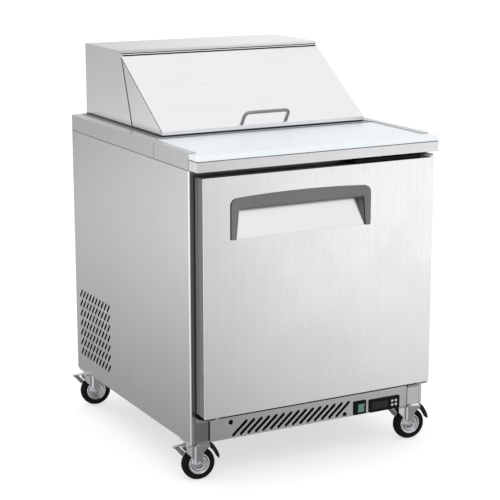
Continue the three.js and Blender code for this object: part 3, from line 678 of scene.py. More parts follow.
def build_back_panel():
    """Rear sheet with two banks of air slots, the collar for the supply cord, and screws round the edge."""
    box = box_of("back_panel")
    half_slot, slot_radius, slot_pitch, lowest = 95, 4, 24, box.z0 + 41.7
    slots = [
        stadium((centre - half_slot, z), (centre + half_slot, z), slot_radius)
        for centre in (-150, 150) for z in (lowest + slot_pitch * row for row in range(8))
    ]
    gland_x, gland_z = -285, box.z0 + 37.7
    sheet = plate(
        front_of(box, 0, 0, 3), box.y1 - 1.7, box.y1 - 0.02, "Y",
        slots + [circle(gland_x, gland_z, 5, 20)], 0.4,
    )
    stand_in("back_panel", sheet)
    collar = lathe(
        [(5, -0.6), (5, -13.6), (12.5, -13.6), (13.8, -12.4), (13.8, -3.2), (9, -2.6), (9, -0.6)],
        (gland_x, box.y1, gland_z), "Y", 32,
    )
    show("cord_gland_collar", collar, "cabinet", "black_plastic")
    margin = 10
    left, right = box.x0 + margin, box.x1 - margin
    spots = [(x, z) for x in (left, -110, 110, right) for z in (box.z0 + margin, box.z1 - margin)]
    spots += [(x, z) for z in (270, 400, 530, 660) for x in (left, right)]
    screws = [screw_head((x, box.y1 - 1.9, z), "Y", 1, 3.6) for x, z in spots]
    show("back_panel_screws", merged(*screws), "cabinet", "zinc_plate")


def one_side(bm, x, left):
    """Cuts a solid at X and keeps its left or its right part, closed again."""
    cut = bmesh.ops.bisect_plane(
        bm, geom=[*bm.verts, *bm.edges, *bm.faces], plane_co=(x, 0, 0), plane_no=(1, 0, 0),
        clear_outer=left, clear_inner=not left,
    )
    rim = [part for part in cut["geom_cut"] if isinstance(part, bmesh.types.BMEdge)]
    bmesh.ops.holes_fill(bm, edges=rim)
    return bm


def build_frame_and_liner():
    """Base pan and liner, and the front frame cut beside the kick panel: its left part takes a darker copy of the
    steel as painted shade, its right post a lighter copy as painted light.
    """
    for node, rounding in (("base_pan", 0.5), ("insulated_liner", 1.4)):
        stand_in(node, cad_shape(node, rounding, 3))
    kick = box_of("kick_grille")
    for name, look, left in (
        (None, "frame_steel", True), ("front_frame_right_post", "frame_light_steel", False),
    ):
        part = one_side(cad_shape("front_frame", 0.8, 3), kick.x1 + 1, left)
        stand_in("front_frame", part, name, look)
    # Black strip in the joint beside the kick panel: painted shade in the gap.
    strip = slab(kick.x1 + 0.2, kick.x1 + 3, kick.y0 + 1.2, kick.y1, kick.z0 + 1, kick.z1 - 1, 0.3)
    show("kick_joint_shade_strip", strip, "cabinet", "gasket_rubber", look="dust_screen")


def build_wire_shelf():
    """Dip-coated shelf: a heavy rim, two cross wires and a comb of thinner wires."""
    box = box_of("wire_shelf")
    rim, wire = 2.5, 1.5
    corners = [
        (box.x0 + rim, box.y0 + rim), (box.x1 - rim, box.y0 + rim),
        (box.x1 - rim, box.y1 - rim), (box.x0 + rim, box.y1 - rim),
    ]
    z = box.z0 + rim
    bars = [tube(bent([(x, y, z) for x, y in corners], 16, 6, True), rim, 12, True)]
    for y in (box.y0 + 117.5, box.y0 + 227.5):
        bars.append(tube([(box.x0 + rim, y, z), (box.x1 - rim, y, z)], 1.9, 10))
    count = 24
    for i in range(1, count + 1):
        x = box.x0 + (box.x1 - box.x0) * i / (count + 1)
        top = box.z1 - wire - 0.02
        ends = [(x, box.y0 + 1.6, z), (x, box.y0 + 8, top), (x, box.y1 - 8, top), (x, box.y1 - 1.6, z)]
        bars.append(tube(bent(ends, 4, 3), wire, 8))
    stand_in("wire_shelf", merged(*bars))


# ---------------------------------------------------------------- kick grille and controls


def build_kick_grille():
    """Panel with slanted slots, two screw holes and the openings of the controls, over a black screen that paints
    the shade behind the slots.
    """
    box = box_of("kick_grille")
    controls = [box_of(node) for node in ("rocker_bezel", "temperature_controller")]
    slot_pitch, lean, slot_radius, screw_radius = 21.9, 41, 3.9, 6.4
    bottom, top = box.z0 + 6, box.z0 + 41
    holes = [
        stadium((x - 1, bottom - 1), (x + lean + 1, top + 1), slot_radius)
        for x in (box.x0 + 64.5 + i * slot_pitch for i in range(15))
    ]
    holes += [circle(box.x0 + u, box.z0 + v, screw_radius) for u, v in ((59, 43), (398, 7.8))]
    holes += [front_of(cut, 4, 4) for cut in controls]
    face = plate(front_of(box, 0, 0), box.y0, box.y0 + SHEET, "Y", holes, 0.45)
    returns = [
        slab(x0, x1, box.y0 + 0.6, box.y1, box.z0 + 0.3, box.z1 - 0.3, 0.4)
        for x0, x1 in ((box.x0 + 0.1, box.x0 + SHEET), (box.x1 - SHEET, box.x1 - 0.1))
    ]
    stand_in("kick_grille", merged(face, *returns))
    openings = [front_of(cut, 2, (3.6, 2)) for cut in controls]
    screen = plate(front_of(box, 5, (3, 4)), box.y0 + 3, box.y0 + 4.2, "Y", openings, 0.3, 2)
    show("kick_painted_shade_black", screen, "cabinet", "black_plastic", look="dust_screen")


def build_controls():
    """Rocker switch in its bezel, and the controller with a dark window and four keys."""
    box = box_of("rocker_bezel")
    window = front_of(box, (13, 5.7), 5.7, 1.2)
    face = plate(front_of(box, 0, 0, 2.2), box.y0, box.y0 + 2.1, "Y", [window], 0.7)
    sleeve = plate(front_of(box, 4.5, 4.5), box.y0 + 1.8, box.y1, "Y", [window], 0.3, 2)
    stand_in("rocker_bezel", merged(face, sleeve))
    stand_in("power_rocker", cad_shape("power_rocker", 0.8, 3))

    box = box_of("temperature_controller")
    keys = [box_of(f"controller_button_{i}") for i in range(1, 5)]
    centres = [((key.x0 + key.x1) / 2, key.y0, (key.z0 + key.z1) / 2) for key in keys]
    sockets = [circle(x, z, 4.1, 20) for x, _, z in centres]
    display = rectangle(box.x0 + 8, box.x0 + 58, box.z0 + 7, box.z1 - 7, 1)
    face = plate(front_of(box, 0, 0, 2.5), box.y0, box.y0 + 3.6, "Y", [display, *sockets], 0.6)
    housing = slab(
        box.x0 + 5.5, box.x1 - 5.5, box.y0 + 3.4, box.y1, box.z0 + 4.5, box.z1 - 4.5, 0.8,
    )
    stand_in("temperature_controller", merged(face, housing))
    glass = plate(
        rectangle(box.x0 + 8.3, box.x0 + 57.7, box.z0 + 7.3, box.z1 - 7.3, 0.8),
        box.y0 + 0.9, box.y0 + 3.2, "Y", rounding=0.3,
    )
    show("controller_display", glass, "cabinet", "black_plastic", look="display")
    for i, (key, centre) in enumerate(zip(keys, centres), 1):
        radius, length = (key.x1 - key.x0) / 2, key.y1 - key.y0
        dome = [
            (0, 0), (radius * 0.55, 0.12), (radius * 0.85, 0.45), (radius, 1.2), (radius, length),
            (0, length),
        ]
        stand_in(f"controller_button_{i}", lathe(dome, centre, "Y", 24))


# ---------------------------------------------------------------- counter, board and pans


def build_counter():
    """Counter, rails and board shelf, with thin dark beads along their joints and a dark strip beside the hood,
    all painted shade.
    """
    # The board shelf's nose takes a lighter copy of the counter steel as painted light.
    for node, rounding, look in (
        ("counter_top", 0.9, None), ("left_board_rail", 0.9, None), ("right_board_rail", 0.9, None),
        ("board_shelf", 0.9, "nose_steel"), ("food_rail", 0.7, None),
    ):
        stand_in(node, cad_shape(node, rounding, 3), look=look)
    top, rail, hood, shelf = map(box_of, ("counter_top", "left_board_rail", "hood_cover", "board_shelf"))
    # Dark grey strips along the joints and on the counter beside the hood: painted shade.
    shade_beads = []
    for side in (-1, 1):
        edge = on_side(side, top.x1 - 3, top.x1 + 0.06)
        for y0, y1, z0, z1 in (
            (rail.y0 + 1, top.y1 - 1, top.z0 - 1.5, top.z0 + 0.3),
            (rail.y1 - 1, rail.y1 + 1.2, top.z0 + 0.6, top.z1 - 0.8),
            (rail.y0 - 1.6, rail.y0 + 1.2, shelf.z0 + 0.4, shelf.z1 - 0.2),
            (shelf.y0 - 0.06, rail.y0, shelf.z1 - 1.1, shelf.z1 + 0.1),
        ):
            shade_beads.append(slab(*edge, y0, y1, z0, z1, 0.1))
        beside_hood = on_side(side, hood.x1 + 0.6, hood.x1 + 17)
        shade_beads.append(slab(*beside_hood, top.y0 + 46, hood.y1 - 1, top.z1 - 0.5, top.z1 + 0.7, 0.3))
    shade_beads.append(slab(
        shelf.x0 + 1, shelf.x1 - 1, shelf.y0 - 0.06, shelf.y0 + 3, shelf.z1 - 1.1, shelf.z1 + 0.1, 0.1,
    ))
    show("counter_shade_beads", merged(*shade_beads), "cabinet", "gasket_rubber", look="handle_plastic")


def build_cutting_board():
    """Board with softened edges, wide over the nose and narrower between the rails."""
    box = box_of("cutting_board")
    rail = box_of("left_board_rail")
    rear = box.x1 - (rail.x1 - rail.x0) - 1
    step = rail.y0 - 0.5
    outline = fillet([
        (box.x0, box.y0), (box.x1, box.y0), (box.x1, step), (rear, step),
        (rear, box.y1), (-rear, box.y1), (-rear, step), (box.x0, step),
    ], [5, 5, 2, 2, 4, 4, 2, 2])
    stand_in("cutting_board", plate(outline, box.z0, box.z1, "Z", rounding=2.2, steps=5))


def build_pans():
    """Deep-drawn pans: a flat rim with a turned edge, tapered walls and a dished bottom."""
    section = [
        (34, 99.9, 16), (25, 99.2, 20), (21, 96, 21), (19.6, 89, 22), (14.6, 9, 25), (13.4, 3.6, 25),
        (11, 2, 25), (2.2, 2, 12), (0.7, 1.9, 11), (0, 1.2, 10.6), (0.3, 0.35, 10.4), (1.3, 0, 10),
        (10.5, 0, 23), (12.8, 0.8, 24), (14.2, 3, 24), (15.5, 9, 24), (20.5, 88, 21), (21.6, 94, 20),
        (25.4, 98, 18), (36, 98.9, 14),
    ]
    for i in range(1, 7):
        box = box_of(f"food_pan_{i}")
        loops = []
        for inset, depth, corner in section:
            outline = rectangle(box.x0 + inset, box.x1 - inset, box.y0 + inset, box.y1 - inset, corner, 8)
            loops.append([(u, v, box.z1 - depth) for u, v in outline])
        stand_in(f"food_pan_{i}", loft(loops), sharp=70)


# ---------------------------------------------------------------- hood and lid


def build_hood():
    stand_in("hood_cover", cad_shape("hood_cover", 1.0, 3))
    stand_in("hood_gasket", cad_shape("hood_gasket", 0.8, 2))


def lid_lines():
    """The lid's box, its hinge and the top of its front lip in (Y, Z), the way down and the way in."""
    lid, rod = box_of("lid_shell"), box_of("lid_hinge_rod")
    hinge = Vector(((rod.y0 + rod.y1) / 2, (rod.z0 + rod.z1) / 2))
    lip = Vector((lid.y0, lid.z0 + 10))
    down = (lip - hinge).normalized()
    inward = Vector((-down.y, down.x))
    if inward.y > 0:
        inward = -inward
    return lid, hinge, lip, down, inward


def build_lid():
    """Sloped sheet with a turned-down lip, over two cheeks set a hair's breadth under its edges."""
    lid, hinge, lip, down, inward = lid_lines()
    sheet, turn, groove = 2.6, 0.8, 3.2
    face = fillet([
        tuple(hinge + down * 1.5), tuple(lip), (lip.x, lid.z0), (lip.x + sheet, lid.z0),
        tuple(lip + inward * sheet + Vector((0.5 * sheet, 0))), tuple(hinge + down * 3 + inward * sheet),
    ], [0.4, 2.0, turn, turn, 0.6, 0.4], 4)
    skin = plate(face, lid.x0, lid.x1, "X", rounding=0.4)
    rear_low = (lid.y1 - 63.8, lid.z0)
    edge = inward * (sheet + groove)
    cheek = fillet([
        (lip.x + sheet + groove, lid.z0), rear_low, tuple(hinge + Vector((-6.8, -9.6))),
        tuple(hinge + down * 12 + edge), tuple(lip + edge + Vector((1.5, 0.5))),
    ], [0.6, 1.2, 1.2, 0.8, 0.6], 4)
    # Black strips under the grooves between the sheet and the cheeks: painted shade in the grooves.
    low = lip + inward * (sheet + 0.1) + Vector((2, 0))
    high = hinge + down * 14 + inward * (sheet + 0.1)
    under = inward * (groove + 1)
    filler = [tuple(low), tuple(high), tuple(high + under), tuple(low + under)]
    cheeks, fillers = [], []
    for side in (-1, 1):
        cheeks.append(plate(cheek, *on_side(side, lid.x1 - 0.5, lid.x1 - 2.1), "X", rounding=0.4))
        across = on_side(side, lid.x1 - 0.8, lid.x1 - 5)
        fillers.append(plate(filler, *across, "X", rounding=0.1, steps=2))
    stand_in("lid_shell", merged(skin, *cheeks))
    show("lid_edge_shade_fillers", merged(*fillers), "lid", "gasket_rubber", look="dust_screen")
    rod = box_of("lid_hinge_rod")
    radius = (rod.z1 - rod.z0) / 2
    bar = tube([(rod.x0, *hinge), (rod.x1, *hinge)], radius, 24)
    stand_in("lid_hinge_rod", bar, look="hood_steel")
    # Black strip round the front of the hinge rod: painted shade in the gap under the hood's lip.
    around = [math.radians(158 + 8 * step) for step in range(14)]
    rim = [tuple(hinge + (radius + 0.06) * Vector((math.cos(turn), math.sin(turn)))) for turn in around]
    rod_shade = plate(rim, rod.x0 + 2, rod.x1 - 2, "X", rounding=0.05, steps=1)
    show("lid_rod_shade_strip", rod_shade, "lid", "gasket_rubber", look="dust_screen")


def build_lid_handle():
    """Bent round bar, welded to the sheet at both ends."""
    _, _, lip, down, inward = lid_lines()
    radius, reach, sunk = 4.5, 31, 0.4
    foot = lip - down * 14
    half = box_of("lid_handle").x1 - radius
    corners = [
        (x, *(foot - inward * height))
        for x, height in ((-half, sunk), (-half, reach), (half, reach), (half, sunk))
    ]
    stand_in("lid_handle", tube(bent(corners, 15, 10), radius, 20), look="grip_bar")


def build_hood_gap_shade():
    """Black strips behind the slanted gaps between the hood's sides and the lid's cheeks: painted shade in the
    gaps.
    """
    hood = box_of("hood_cover")
    low = Vector((hood.y0 - 1, hood.z0 + 0.5))
    high = lid_lines()[1] + Vector((-2, -16))
    outline = [
        (low.x - 7, low.y), (low.x + 9, low.y), (high.x + 8, high.y), (high.x - 4, high.y - 6),
    ]
    strips = [
        plate(outline, *on_side(side, hood.x1 - 1.8, hood.x1 - 5.8), "X", rounding=0.8, steps=2)
        for side in (-1, 1)
    ]
    show("hood_side_shade_strips", merged(*strips), "cabinet", "gasket_rubber", look="dust_screen")


# ---------------------------------------------------------------- door

CROWN = 7  # rise of the grip surround's top edge


def build_door_skin():
    """Steel front with a folded edge, over a dark plastic frame that closes the door's four sides."""
    box = box_of("door_shell")
    pocket = box_of("handle_pocket")
    window = rectangle(pocket.x0 + 0.3, pocket.x1 - 0.3, pocket.z0 + 1.2, pocket.z1 - 0.3, 2)
    fold = 4.5
    skin = plate(
        rectangle(box.x0, box.x1, box.z0, box.z1, 1.5), box.y0, box.y0 + fold, "Y", [window], 1.1, 4,
    )
    stand_in("door_shell", skin, "door_skin")
    ring = (box.x0 + 1, box.z0 + 1, box.x1 - 1, box.z1 - 1)
    front, back = box.y0 + fold + 1.2, box.y1 - 0.3
    section = [
        (0.8, front), (0, front + 0.8), (0, back - 4.5), (0.8, back - 3), (1.6, back - 2.4), (1.6, back),
        (30, back), (30, front),
    ]
    show("door_frame_ring", framed(ring, "Y", section, 3), "door", "handle_plastic", look="frame_plastic")
    edge = slab(box.x0 + 1.2, box.x0 + 14, box.y1 - 0.6, box.y1 + 11.4, box.z0 + 3, box.z1 - 3, 0.8, 3)
    show("door_left_edge_strip", edge, "door", "handle_plastic", look="frame_plastic")
    # Black strip under the door's bottom edge: painted shade in the gap above the kick panel.
    sweep = slab(box.x0 + 41, box.x1 - 37, box.y0 + 2, box.y0 + 9, box.z0 - 3.6, box.z0 + 0.6, 0.8, 3)
    show("door_bottom_shade_strip", sweep, "door", "gasket_rubber", look="dust_screen")


def build_door_back():
    """Inner panel of the door: a shallow pressed tray inside a raised border that holds the gasket."""
    box = box_of("door_core")
    outline = (box.x0 + 0.6, box.z0 + 0.6, box.x1 - 0.6, box.z1 - 0.6)
    section = [(inset, box.y1 - depth) for inset, depth in (
        (0, 2.2), (0, 1.3), (0.8, 0), (36, 0), (39, 0.8), (44, 5), (47, 6.2), (60, 6.4),
    )]
    tray = framed(outline, "Y", section, 6, closed=False)
    stand_in("door_core", tray, "door_inner_panel", look="liner_aluminium")


def build_door_gasket():
    """Magnetic gasket: a mounting foot, a folded bellows and a cushion that meets the cabinet."""
    box = box_of("door_gasket")
    near, far = box.y0, box.y1
    section = [
        (3, near), (2.2, near + 2), (0.6, near + 3.6), (0.2, near + 5), (1.6, near + 6.4), (0.4, near + 8),
        (0, far - 1.4), (1.2, far), (16.6, far), (17.8, far - 1.4), (17.4, near + 8), (16.4, near + 6.4),
        (17.6, near + 5), (17.2, near + 3.6), (15.6, near + 2), (15, near),
    ]
    ring = framed((box.x0, box.z0, box.x1, box.z1), "Y", section, 5)
    stand_in("door_gasket", ring, sharp=80)


def build_door_pull():
    """Arched grip surround, the bright slope behind it and the dark cheeks and roof of the pocket."""
    pocket, bezel = box_of("handle_pocket"), box_of("handle_bezel")
    front = pocket.y0
    slope = [
        (front + 0.2, pocket.z0 + 0.6), (pocket.y1 - 2.4, pocket.z1 - 1), (pocket.y1 - 0.6, pocket.z1 - 1),
        (front + 2.4, pocket.z0 + 0.2),
    ]
    back = plate(slope, pocket.x0 + 0.4, pocket.x1 - 0.4, "X", rounding=0.3)
    stand_in("handle_pocket", back, "handle_pocket_slope", look="door_steel")
    cheek = [
        (front - 0.1, pocket.z0 + 3.5), (front - 0.1, pocket.z1 - 0.6), (pocket.y1 - 1.4, pocket.z1 - 0.6),
    ]
    sides = [
        plate(cheek, *sorted((x - side * 0.3, x - side * 2.2)), "X", rounding=0.3, steps=2)
        for side, x in ((-1, pocket.x0), (1, pocket.x1))
    ]
    roof = slab(
        pocket.x0 + 0.4, pocket.x1 - 0.4, front - 0.1, pocket.y1 - 1.5, pocket.z1 - 5, pocket.z1 - 0.5, 0.5,
    )
    show("handle_pocket_sides", merged(roof, *sides), "door", "handle_plastic")

    left, right, low = bezel.x0, bezel.x1, bezel.z0
    shoulder, inner_top = bezel.z1 - CROWN, pocket.z1 - 1.7
    foot, top_leg = 14, 21
    points = [
        (left, low), (left, shoulder), (right, shoulder), (right, low), (right - foot, low),
        (right - top_leg, inner_top), (left + top_leg, inner_top), (left + foot, low),
    ]
    outline = fillet(points, [3.5, 17, 17, 3.5, 2.5, 9, 9, 2.5], 8)
    centre, half = (left + right) / 2, (right - left) / 2
    arched = []
    for x, z in outline:
        rise = CROWN * (1 - ((x - centre) / half) ** 2) if z > inner_top + 2 else 0
        arched.append((x, z + rise * min(1, max(0, (z - inner_top) / (shoulder - inner_top)))))
    arched = with_arc(arched, shoulder, centre, half)
    stand_in("handle_bezel", plate(arched, bezel.y0, bezel.y1, "Y", rounding=1.3, steps=4))
    # A black copy of the surround set off to the left behind it: a painted shadow along its left edge.
    moved = [(x - 1.7, z) for x, z in arched]
    edge_shadow = plate(moved, bezel.y1 - 1, bezel.y1 + 0.2, "Y", rounding=0.3, steps=2)
    show("handle_edge_shadow", edge_shadow, "door", "black_plastic", look="dust_screen")


def with_arc(outline, shoulder, centre, half):
    """Adds points along the long top edge, so that it follows the crown."""
    result = []
    steps = 24
    for here, ahead in zip(outline, outline[1:] + outline[:1]):
        result.append(here)
        if abs(ahead[0] - here[0]) > half and here[1] > shoulder - 1 and ahead[1] > shoulder - 1:
            for k in range(1, steps):
                x = here[0] + (ahead[0] - here[0]) * k / steps
                result.append((x, shoulder + CROWN * (1 - ((x - centre) / half) ** 2)))
    return result


def build_hinges():
    """Zinc brackets with screws, the rest under the free corner and the cover of the self-closer."""
    # The brackets take a darker copy of the zinc plating as painted shade.
    for node in ("top_hinge_bracket", "bottom_hinge_bracket", "door_rest_bracket"):
        stand_in(node, cad_shape(node, 0.7, 3), look="bracket_zinc")
    heads = []
    for node, z in (("bottom_hinge_bracket", 171), ("door_rest_bracket", 172)):
        box = box_of(node)
        side = 1 if box.x1 > 0 else -1
        for x in (330, 313):
            heads.append(screw_head((side * x, box.y1 - 2.8, z), "Y", -1, 3.4))
    show("bracket_screws", merged(*heads), "cabinet", "zinc_plate")
    door = box_of("door_shell")
    top = box_of("top_hinge_bracket")
    cover = slab(97, top.x0 - 4, door.y0 + 6, door.y0 + 26, door.z1 + 0.4, door.z1 + 10.5, 2, 4)
    ribs = [
        slab(x, x + 3, door.y0 + 5.2, door.y0 + 8, door.z1 + 2, door.z1 + 9, 0.6)
        for x in (120, 160, 200, 240)
    ]
    show("self_closer_cover", merged(cover, *ribs), "door", "black_plastic")
    rest = box_of("door_rest_bracket")
    pad = slab(rest.x0 + 6, rest.x1 - 4, rest.y0 + 4, rest.y1 - 9, rest.z1 - 0.1, rest.z1 + 2.4, 1, 3)
    show("door_rest_pad", pad, "cabinet", "black_plastic")


# ---------------------------------------------------------------- cooling system


def build_compressor():
    """Hermetic compressor: two pressed shells with a welded flange, terminal cover, feet and stubs."""
    box = box_of("compressor")
    x, y, z = (box.x0 + box.x1) / 2, (box.y0 + box.y1) / 2, box.z0
    height, radius = box.z1 - z, (box.y1 - box.y0) / 2
    profile = [
        (0, 5), (radius - 16, 5), (radius - 6, 11), (radius - 2, 26), (radius - 2, 84), (radius - 0.2, 85),
        (radius - 0.2, 90), (radius - 3, 91), (radius - 4, 112), (radius - 11, 138), (radius - 28, 153),
        (radius - 50, height - 3), (0, height - 1),
    ]
    can = lathe(profile, (x, y, z), "Z", 56)
    foot = slab(box.x0, box.x1, y - 33, y + 33, z, z + 5.5, 1.2)
    cover = slab(x + 52, x + 88, y - 24, y + 24, z + 48, z + 104, 4, 4)
    stand_in("compressor", merged(can, foot, cover), sharp=40)
    sleeve = [(3, 0), (8, 0), (8, 3), (6.4, 4), (6.4, 7), (8, 8), (8, 10), (3, 10)]
    grommets = []
    for spot in ((x + dx, y + dy, z + 5.4) for dx in (-82, 82) for dy in (-24, 24)):
        grommets.append(lathe(sleeve, spot))
        grommets.append(hex_head((spot[0], spot[1], spot[2] + 9.8), "Z", 1, 5.4, 4))
    show("compressor_mounts", merged(*grommets), "cabinet", "gasket_rubber")
    lines = []
    for turn, rise in ((2.2, 60), (2.8, 48), (3.6, 40)):
        out = Vector((math.cos(turn), math.sin(turn), 0))
        base = Vector((x, y, z + 104))
        elbow = base + out * (radius + 8)
        path = [base + out * (radius - 8), elbow, elbow + Vector((0, 0, rise))]
        lines.append(tube(bent(path, 9), 3.2, 12))
    show("compressor_lines", merged(*lines), "cabinet", "zinc_plate", look="copper")


def build_condenser():
    """Thin fins between two end plates, on copper hairpins that turn at alternate ends."""
    box = box_of("condenser_coil")
    fins = [slab(box.x0, box.x1, box.y0, box.y1, box.z0, box.z0 + 6, 1)]
    x0, x1 = box.x0 + 5, box.x1 - 5
    front, rear = box.y0 + 5, box.y1 - 7
    count = 50
    for i in range(count + 1):
        x = x0 + (x1 - x0) * i / count
        thick = 1.4 if i in (0, count) else 0.35
        fins.append(slab(x - thick / 2, x + thick / 2, front, rear, box.z0 + 6, box.z1, 0.1, 1))
    stand_in("condenser_coil", merged(*fins))
    bends = []
    rise, y = 14, (front + rear) / 2
    for out, x, start in ((-4, x0, 26), (4, x1, 26 + rise)):
        for z in (box.z0 + start + 2 * rise * k for k in range(7)):
            if z + rise <= box.z1:
                path = [(x, y, z), (x + out, y, z), (x + out, y, z + rise), (x, y, z + rise)]
                bends.append(tube(bent(path, 6), 3.2, 10))
    show("condenser_bends", merged(*bends), "cabinet", "fin_aluminium", look="copper")


def build_evaporator():
    """Framed cover with a louvred front, fins and copper tubes behind it."""
    box = box_of("evaporator")
    cover = framed(
        (box.x0, box.z0, box.x1, box.z1), "Y",
        [(4, box.y0 + 1), (1, box.y0 + 2), (0, box.y0 + 5), (0, box.y1), (3, box.y1), (3, box.y0 + 6),
         (6, box.y0 + 3.5), (20, box.y0 + 2.6), (20, box.y0 + 1)], 5,
    )
    grille = [
        slab(box.x0 + 16, box.x1 - 16, box.y0 + 1.4, box.y0 + 4, z - 1.6, z + 1.6, 0.6)
        for z in (box.z0 + 24 + 9.3 * k for k in range(15))
    ]
    core = [
        slab(x - 0.4, x + 0.4, box.y0 + 12, box.y1 - 4, box.z0 + 8, box.z1 - 8, 0.1, 1)
        for x in (box.x0 + 10 + (box.x1 - box.x0 - 20) * k / 56 for k in range(57))
    ]
    stand_in("evaporator", merged(cover, *grille, *core))
    y = (box.y0 + box.y1) / 2 + 6
    runs = [
        tube([(box.x0 + 6, y, z), (box.x1 - 6, y, z)], 4, 12)
        for z in (box.z0 + 30 + 30 * k for k in range(5))
    ]
    show("evaporator_tubes", merged(*runs), "cabinet", "fin_aluminium", look="copper")


def build_fan():
    """Axial fan: a capped hub and five twisted, swept blades."""
    box = box_of("condenser_fan")
    x, _, z = (value / MM for value in JOINTS["fan_spin"]["pos_m"])
    hub = lathe(
        [(radius, box.y1 - depth) for radius, depth in (
            (0, 0.2), (14, 0.2), (23.5, 2), (23.5, 26), (18, 27.8), (0, 27.8),
        )], (x, 0, z), "Y", 36,
    )
    blades = []
    tip, root, count = 87, 21, 7
    for i in range(5):
        turn = 2 * math.pi * i / 5
        loops = []
        for k in range(count):
            t = k / (count - 1)
            radius = root + (tip - root) * t
            half = 17 + 9 * math.sin(math.pi * min(1, t * 0.9 + 0.1))
            pitch = math.radians(34 - 14 * t)
            lean = 0.25 * t
            spoke = Vector((math.cos(turn + lean), math.sin(turn + lean)))
            side = Vector((-spoke.y, spoke.x))
            ring = []
            for across, thick in ((-1, 0), (-0.5, 1.2), (0.5, 1.2), (1, 0), (0.5, -0.9), (-0.5, -0.9)):
                depth = across * half * 0.55 * math.sin(pitch) + thick
                spot = spoke * radius + side * (across * half * math.cos(pitch))
                if spot.length > tip:
                    spot = spot.normalized() * tip
                ring.append((x + spot.x, (box.y0 + box.y1) / 2 + depth, z + spot.y))
            loops.append(ring)
        blades.append(loft(loops))
    stand_in("condenser_fan", merged(hub, *blades), sharp=40)


# ---------------------------------------------------------------- casters

BOLT_SPOTS = [(u, v) for u in (-19, 19) for v in (-19, 19)]


def caster_frame(place):
    """Matrix from the caster's own frame to the row: X is the rolling direction, Y the axle."""
    axle = Vector(JOINTS[f"wheel_{place}_roll"]["axis"])
    spot = Vector(JOINTS[f"swivel_{place}_turn"]["pos_m"]) / MM
    turn = math.atan2(-axle.x, axle.y)
    return Matrix.Translation((spot.x, spot.y, 0)) @ Matrix.Rotation(turn, 4, "Z")


def on_axle(profile, trail, radius, segments):
    """Revolves a half section and its mirror image about the axle."""
    mirrored = [(r, -v) for r, v in reversed(profile)]
    return lathe(profile + mirrored, (trail, 0, radius), "Y", segments)


def tyre(trail, radius):
    return on_axle([
        (radius - 17.7, -9.8), (radius - 16, -11.4), (radius - 13.4, -11.9), (radius - 12, -11.3),
        (radius - 10, -11.3), (radius - 8.4, -11.95), (radius - 4.8, -11.3), (radius - 2, -9.4),
        (radius - 0.5, -6.2), (radius, -2.4),
    ], trail, radius, 72)


def rim(trail, radius):
    """Pressed rim: outer bead, dished web with a raised ring, and the bearing cup."""
    return on_axle([
        (5.6, -13.4), (9.6, -13.4), (11.6, -12.4), (12.4, -9.2), (14, -8.2), (16, -8.4), (17.6, -9.9),
        (19, -8.4), (22.4, -8), (23.8, -9.2), (24.6, -11.6), (26, -12.5), (27.4, -11.8), (27.6, -10),
    ], trail, radius, 56)


def leg_wing(trail, side):
    """Pressed web beside a fork leg: it dips behind the leg's edge and rises again to a diagonal rim."""
    left = trail - 9.5
    loops = []
    for u, depth in ((left + 0.6, 16.9), (left - 2, 14.4), (left - 7, 13.4), (left - 12, 14.6), (-24, 16.6)):
        low = 53 + (left - u) * 27 / (left + 24)
        near, far = side * depth, side * (depth - 1.2)
        loops.append([(u, near, low), (u, near, 94), (u, far, 94), (u, far, low)])
    return loft(loops)


def fork(trail, radius):
    """Fork: two legs that narrow to the axle, a crown with a swivel cup, and the brake arm."""
    leg_inner, leg_outer = 14.6, 17.4
    outline = fillet([
        (trail - 9.5, radius - 9.5), (trail + 9.5, radius - 9.5), (trail + 9.5, 68), (trail + 12.5, 77.5),
        (trail + 20, 84), (39.8, 88.5), (39.8, 95.4), (trail - 9.5, 95.4),
    ], [9.3, 9.3, 10, 9, 9, 2, 2, 2], 8)
    legs = [
        plate(outline, *on_side(side, leg_inner, leg_outer), "Y", rounding=0.7) for side in (-1, 1)
    ]
    wings = [leg_wing(trail, side) for side in (-1, 1)]
    crown = plate(rectangle(-23.8, 39.8, -16.6, 16.6, 5), 92.7, 95.4, "Z", rounding=0.8)
    arm_hole = circle(36, 0, 1.7, 16)
    arm = plate(fillet([
        (-53.8, -4.5), (-42, -6), (-22, -8.8), (30, -8.8), (41.8, -5.5), (41.8, 5.5), (30, 8.8), (-22, 8.8),
        (-42, 6), (-53.8, 4.5),
    ], [4, 6, 6, 6, 4, 4, 6, 6, 6, 4]), 93, 95.5, "Z", [arm_hole], 0.6)
    pin = [(0, -5.2), (2.6, -5.2), (3.1, -4.6), (3.1, 4.6), (2.6, 5.2), (0, 5.2)]
    roll = lathe(pin, (-50.6, 0, 92.6), "Y", 20)
    cup = lathe([(0, 95), (19, 95), (20, 96), (20, 98.4), (18.6, 99.5), (0, 99.5)], (0, 0, 0), "Z", 44)
    bolts = [hex_head((trail, way * leg_outer, radius), "Y", way, 6.4, 3.8) for way in (-1, 1)]
    washers = [
        lathe([(r, way * depth) for r, depth in ((0, 17.3), (8, 17.3), (8, 18.2), (0, 18.2))],
              (trail, 0, radius), "Y", 28)
        for way in (-1, 1)
    ]
    axle = lathe([(0, -17), (4.8, -17), (4.8, 17), (0, 17)], (trail, 0, radius), "Y", 24)
    return merged(*legs, *wings, crown, arm, roll, cup, *bolts, *washers, axle)


def brake_shoe():
    """Block that hangs from the end of the arm and stops just short of the tyre."""
    strip = [(-51.5, 91.5), (-39.5, 92), (-22.4, 75.2), (-28, 68.2), (-33.5, 69.5)]
    return plate(fillet(strip, 1.4, 3), -6.5, 6.5, "Y", rounding=0.8, steps=3)


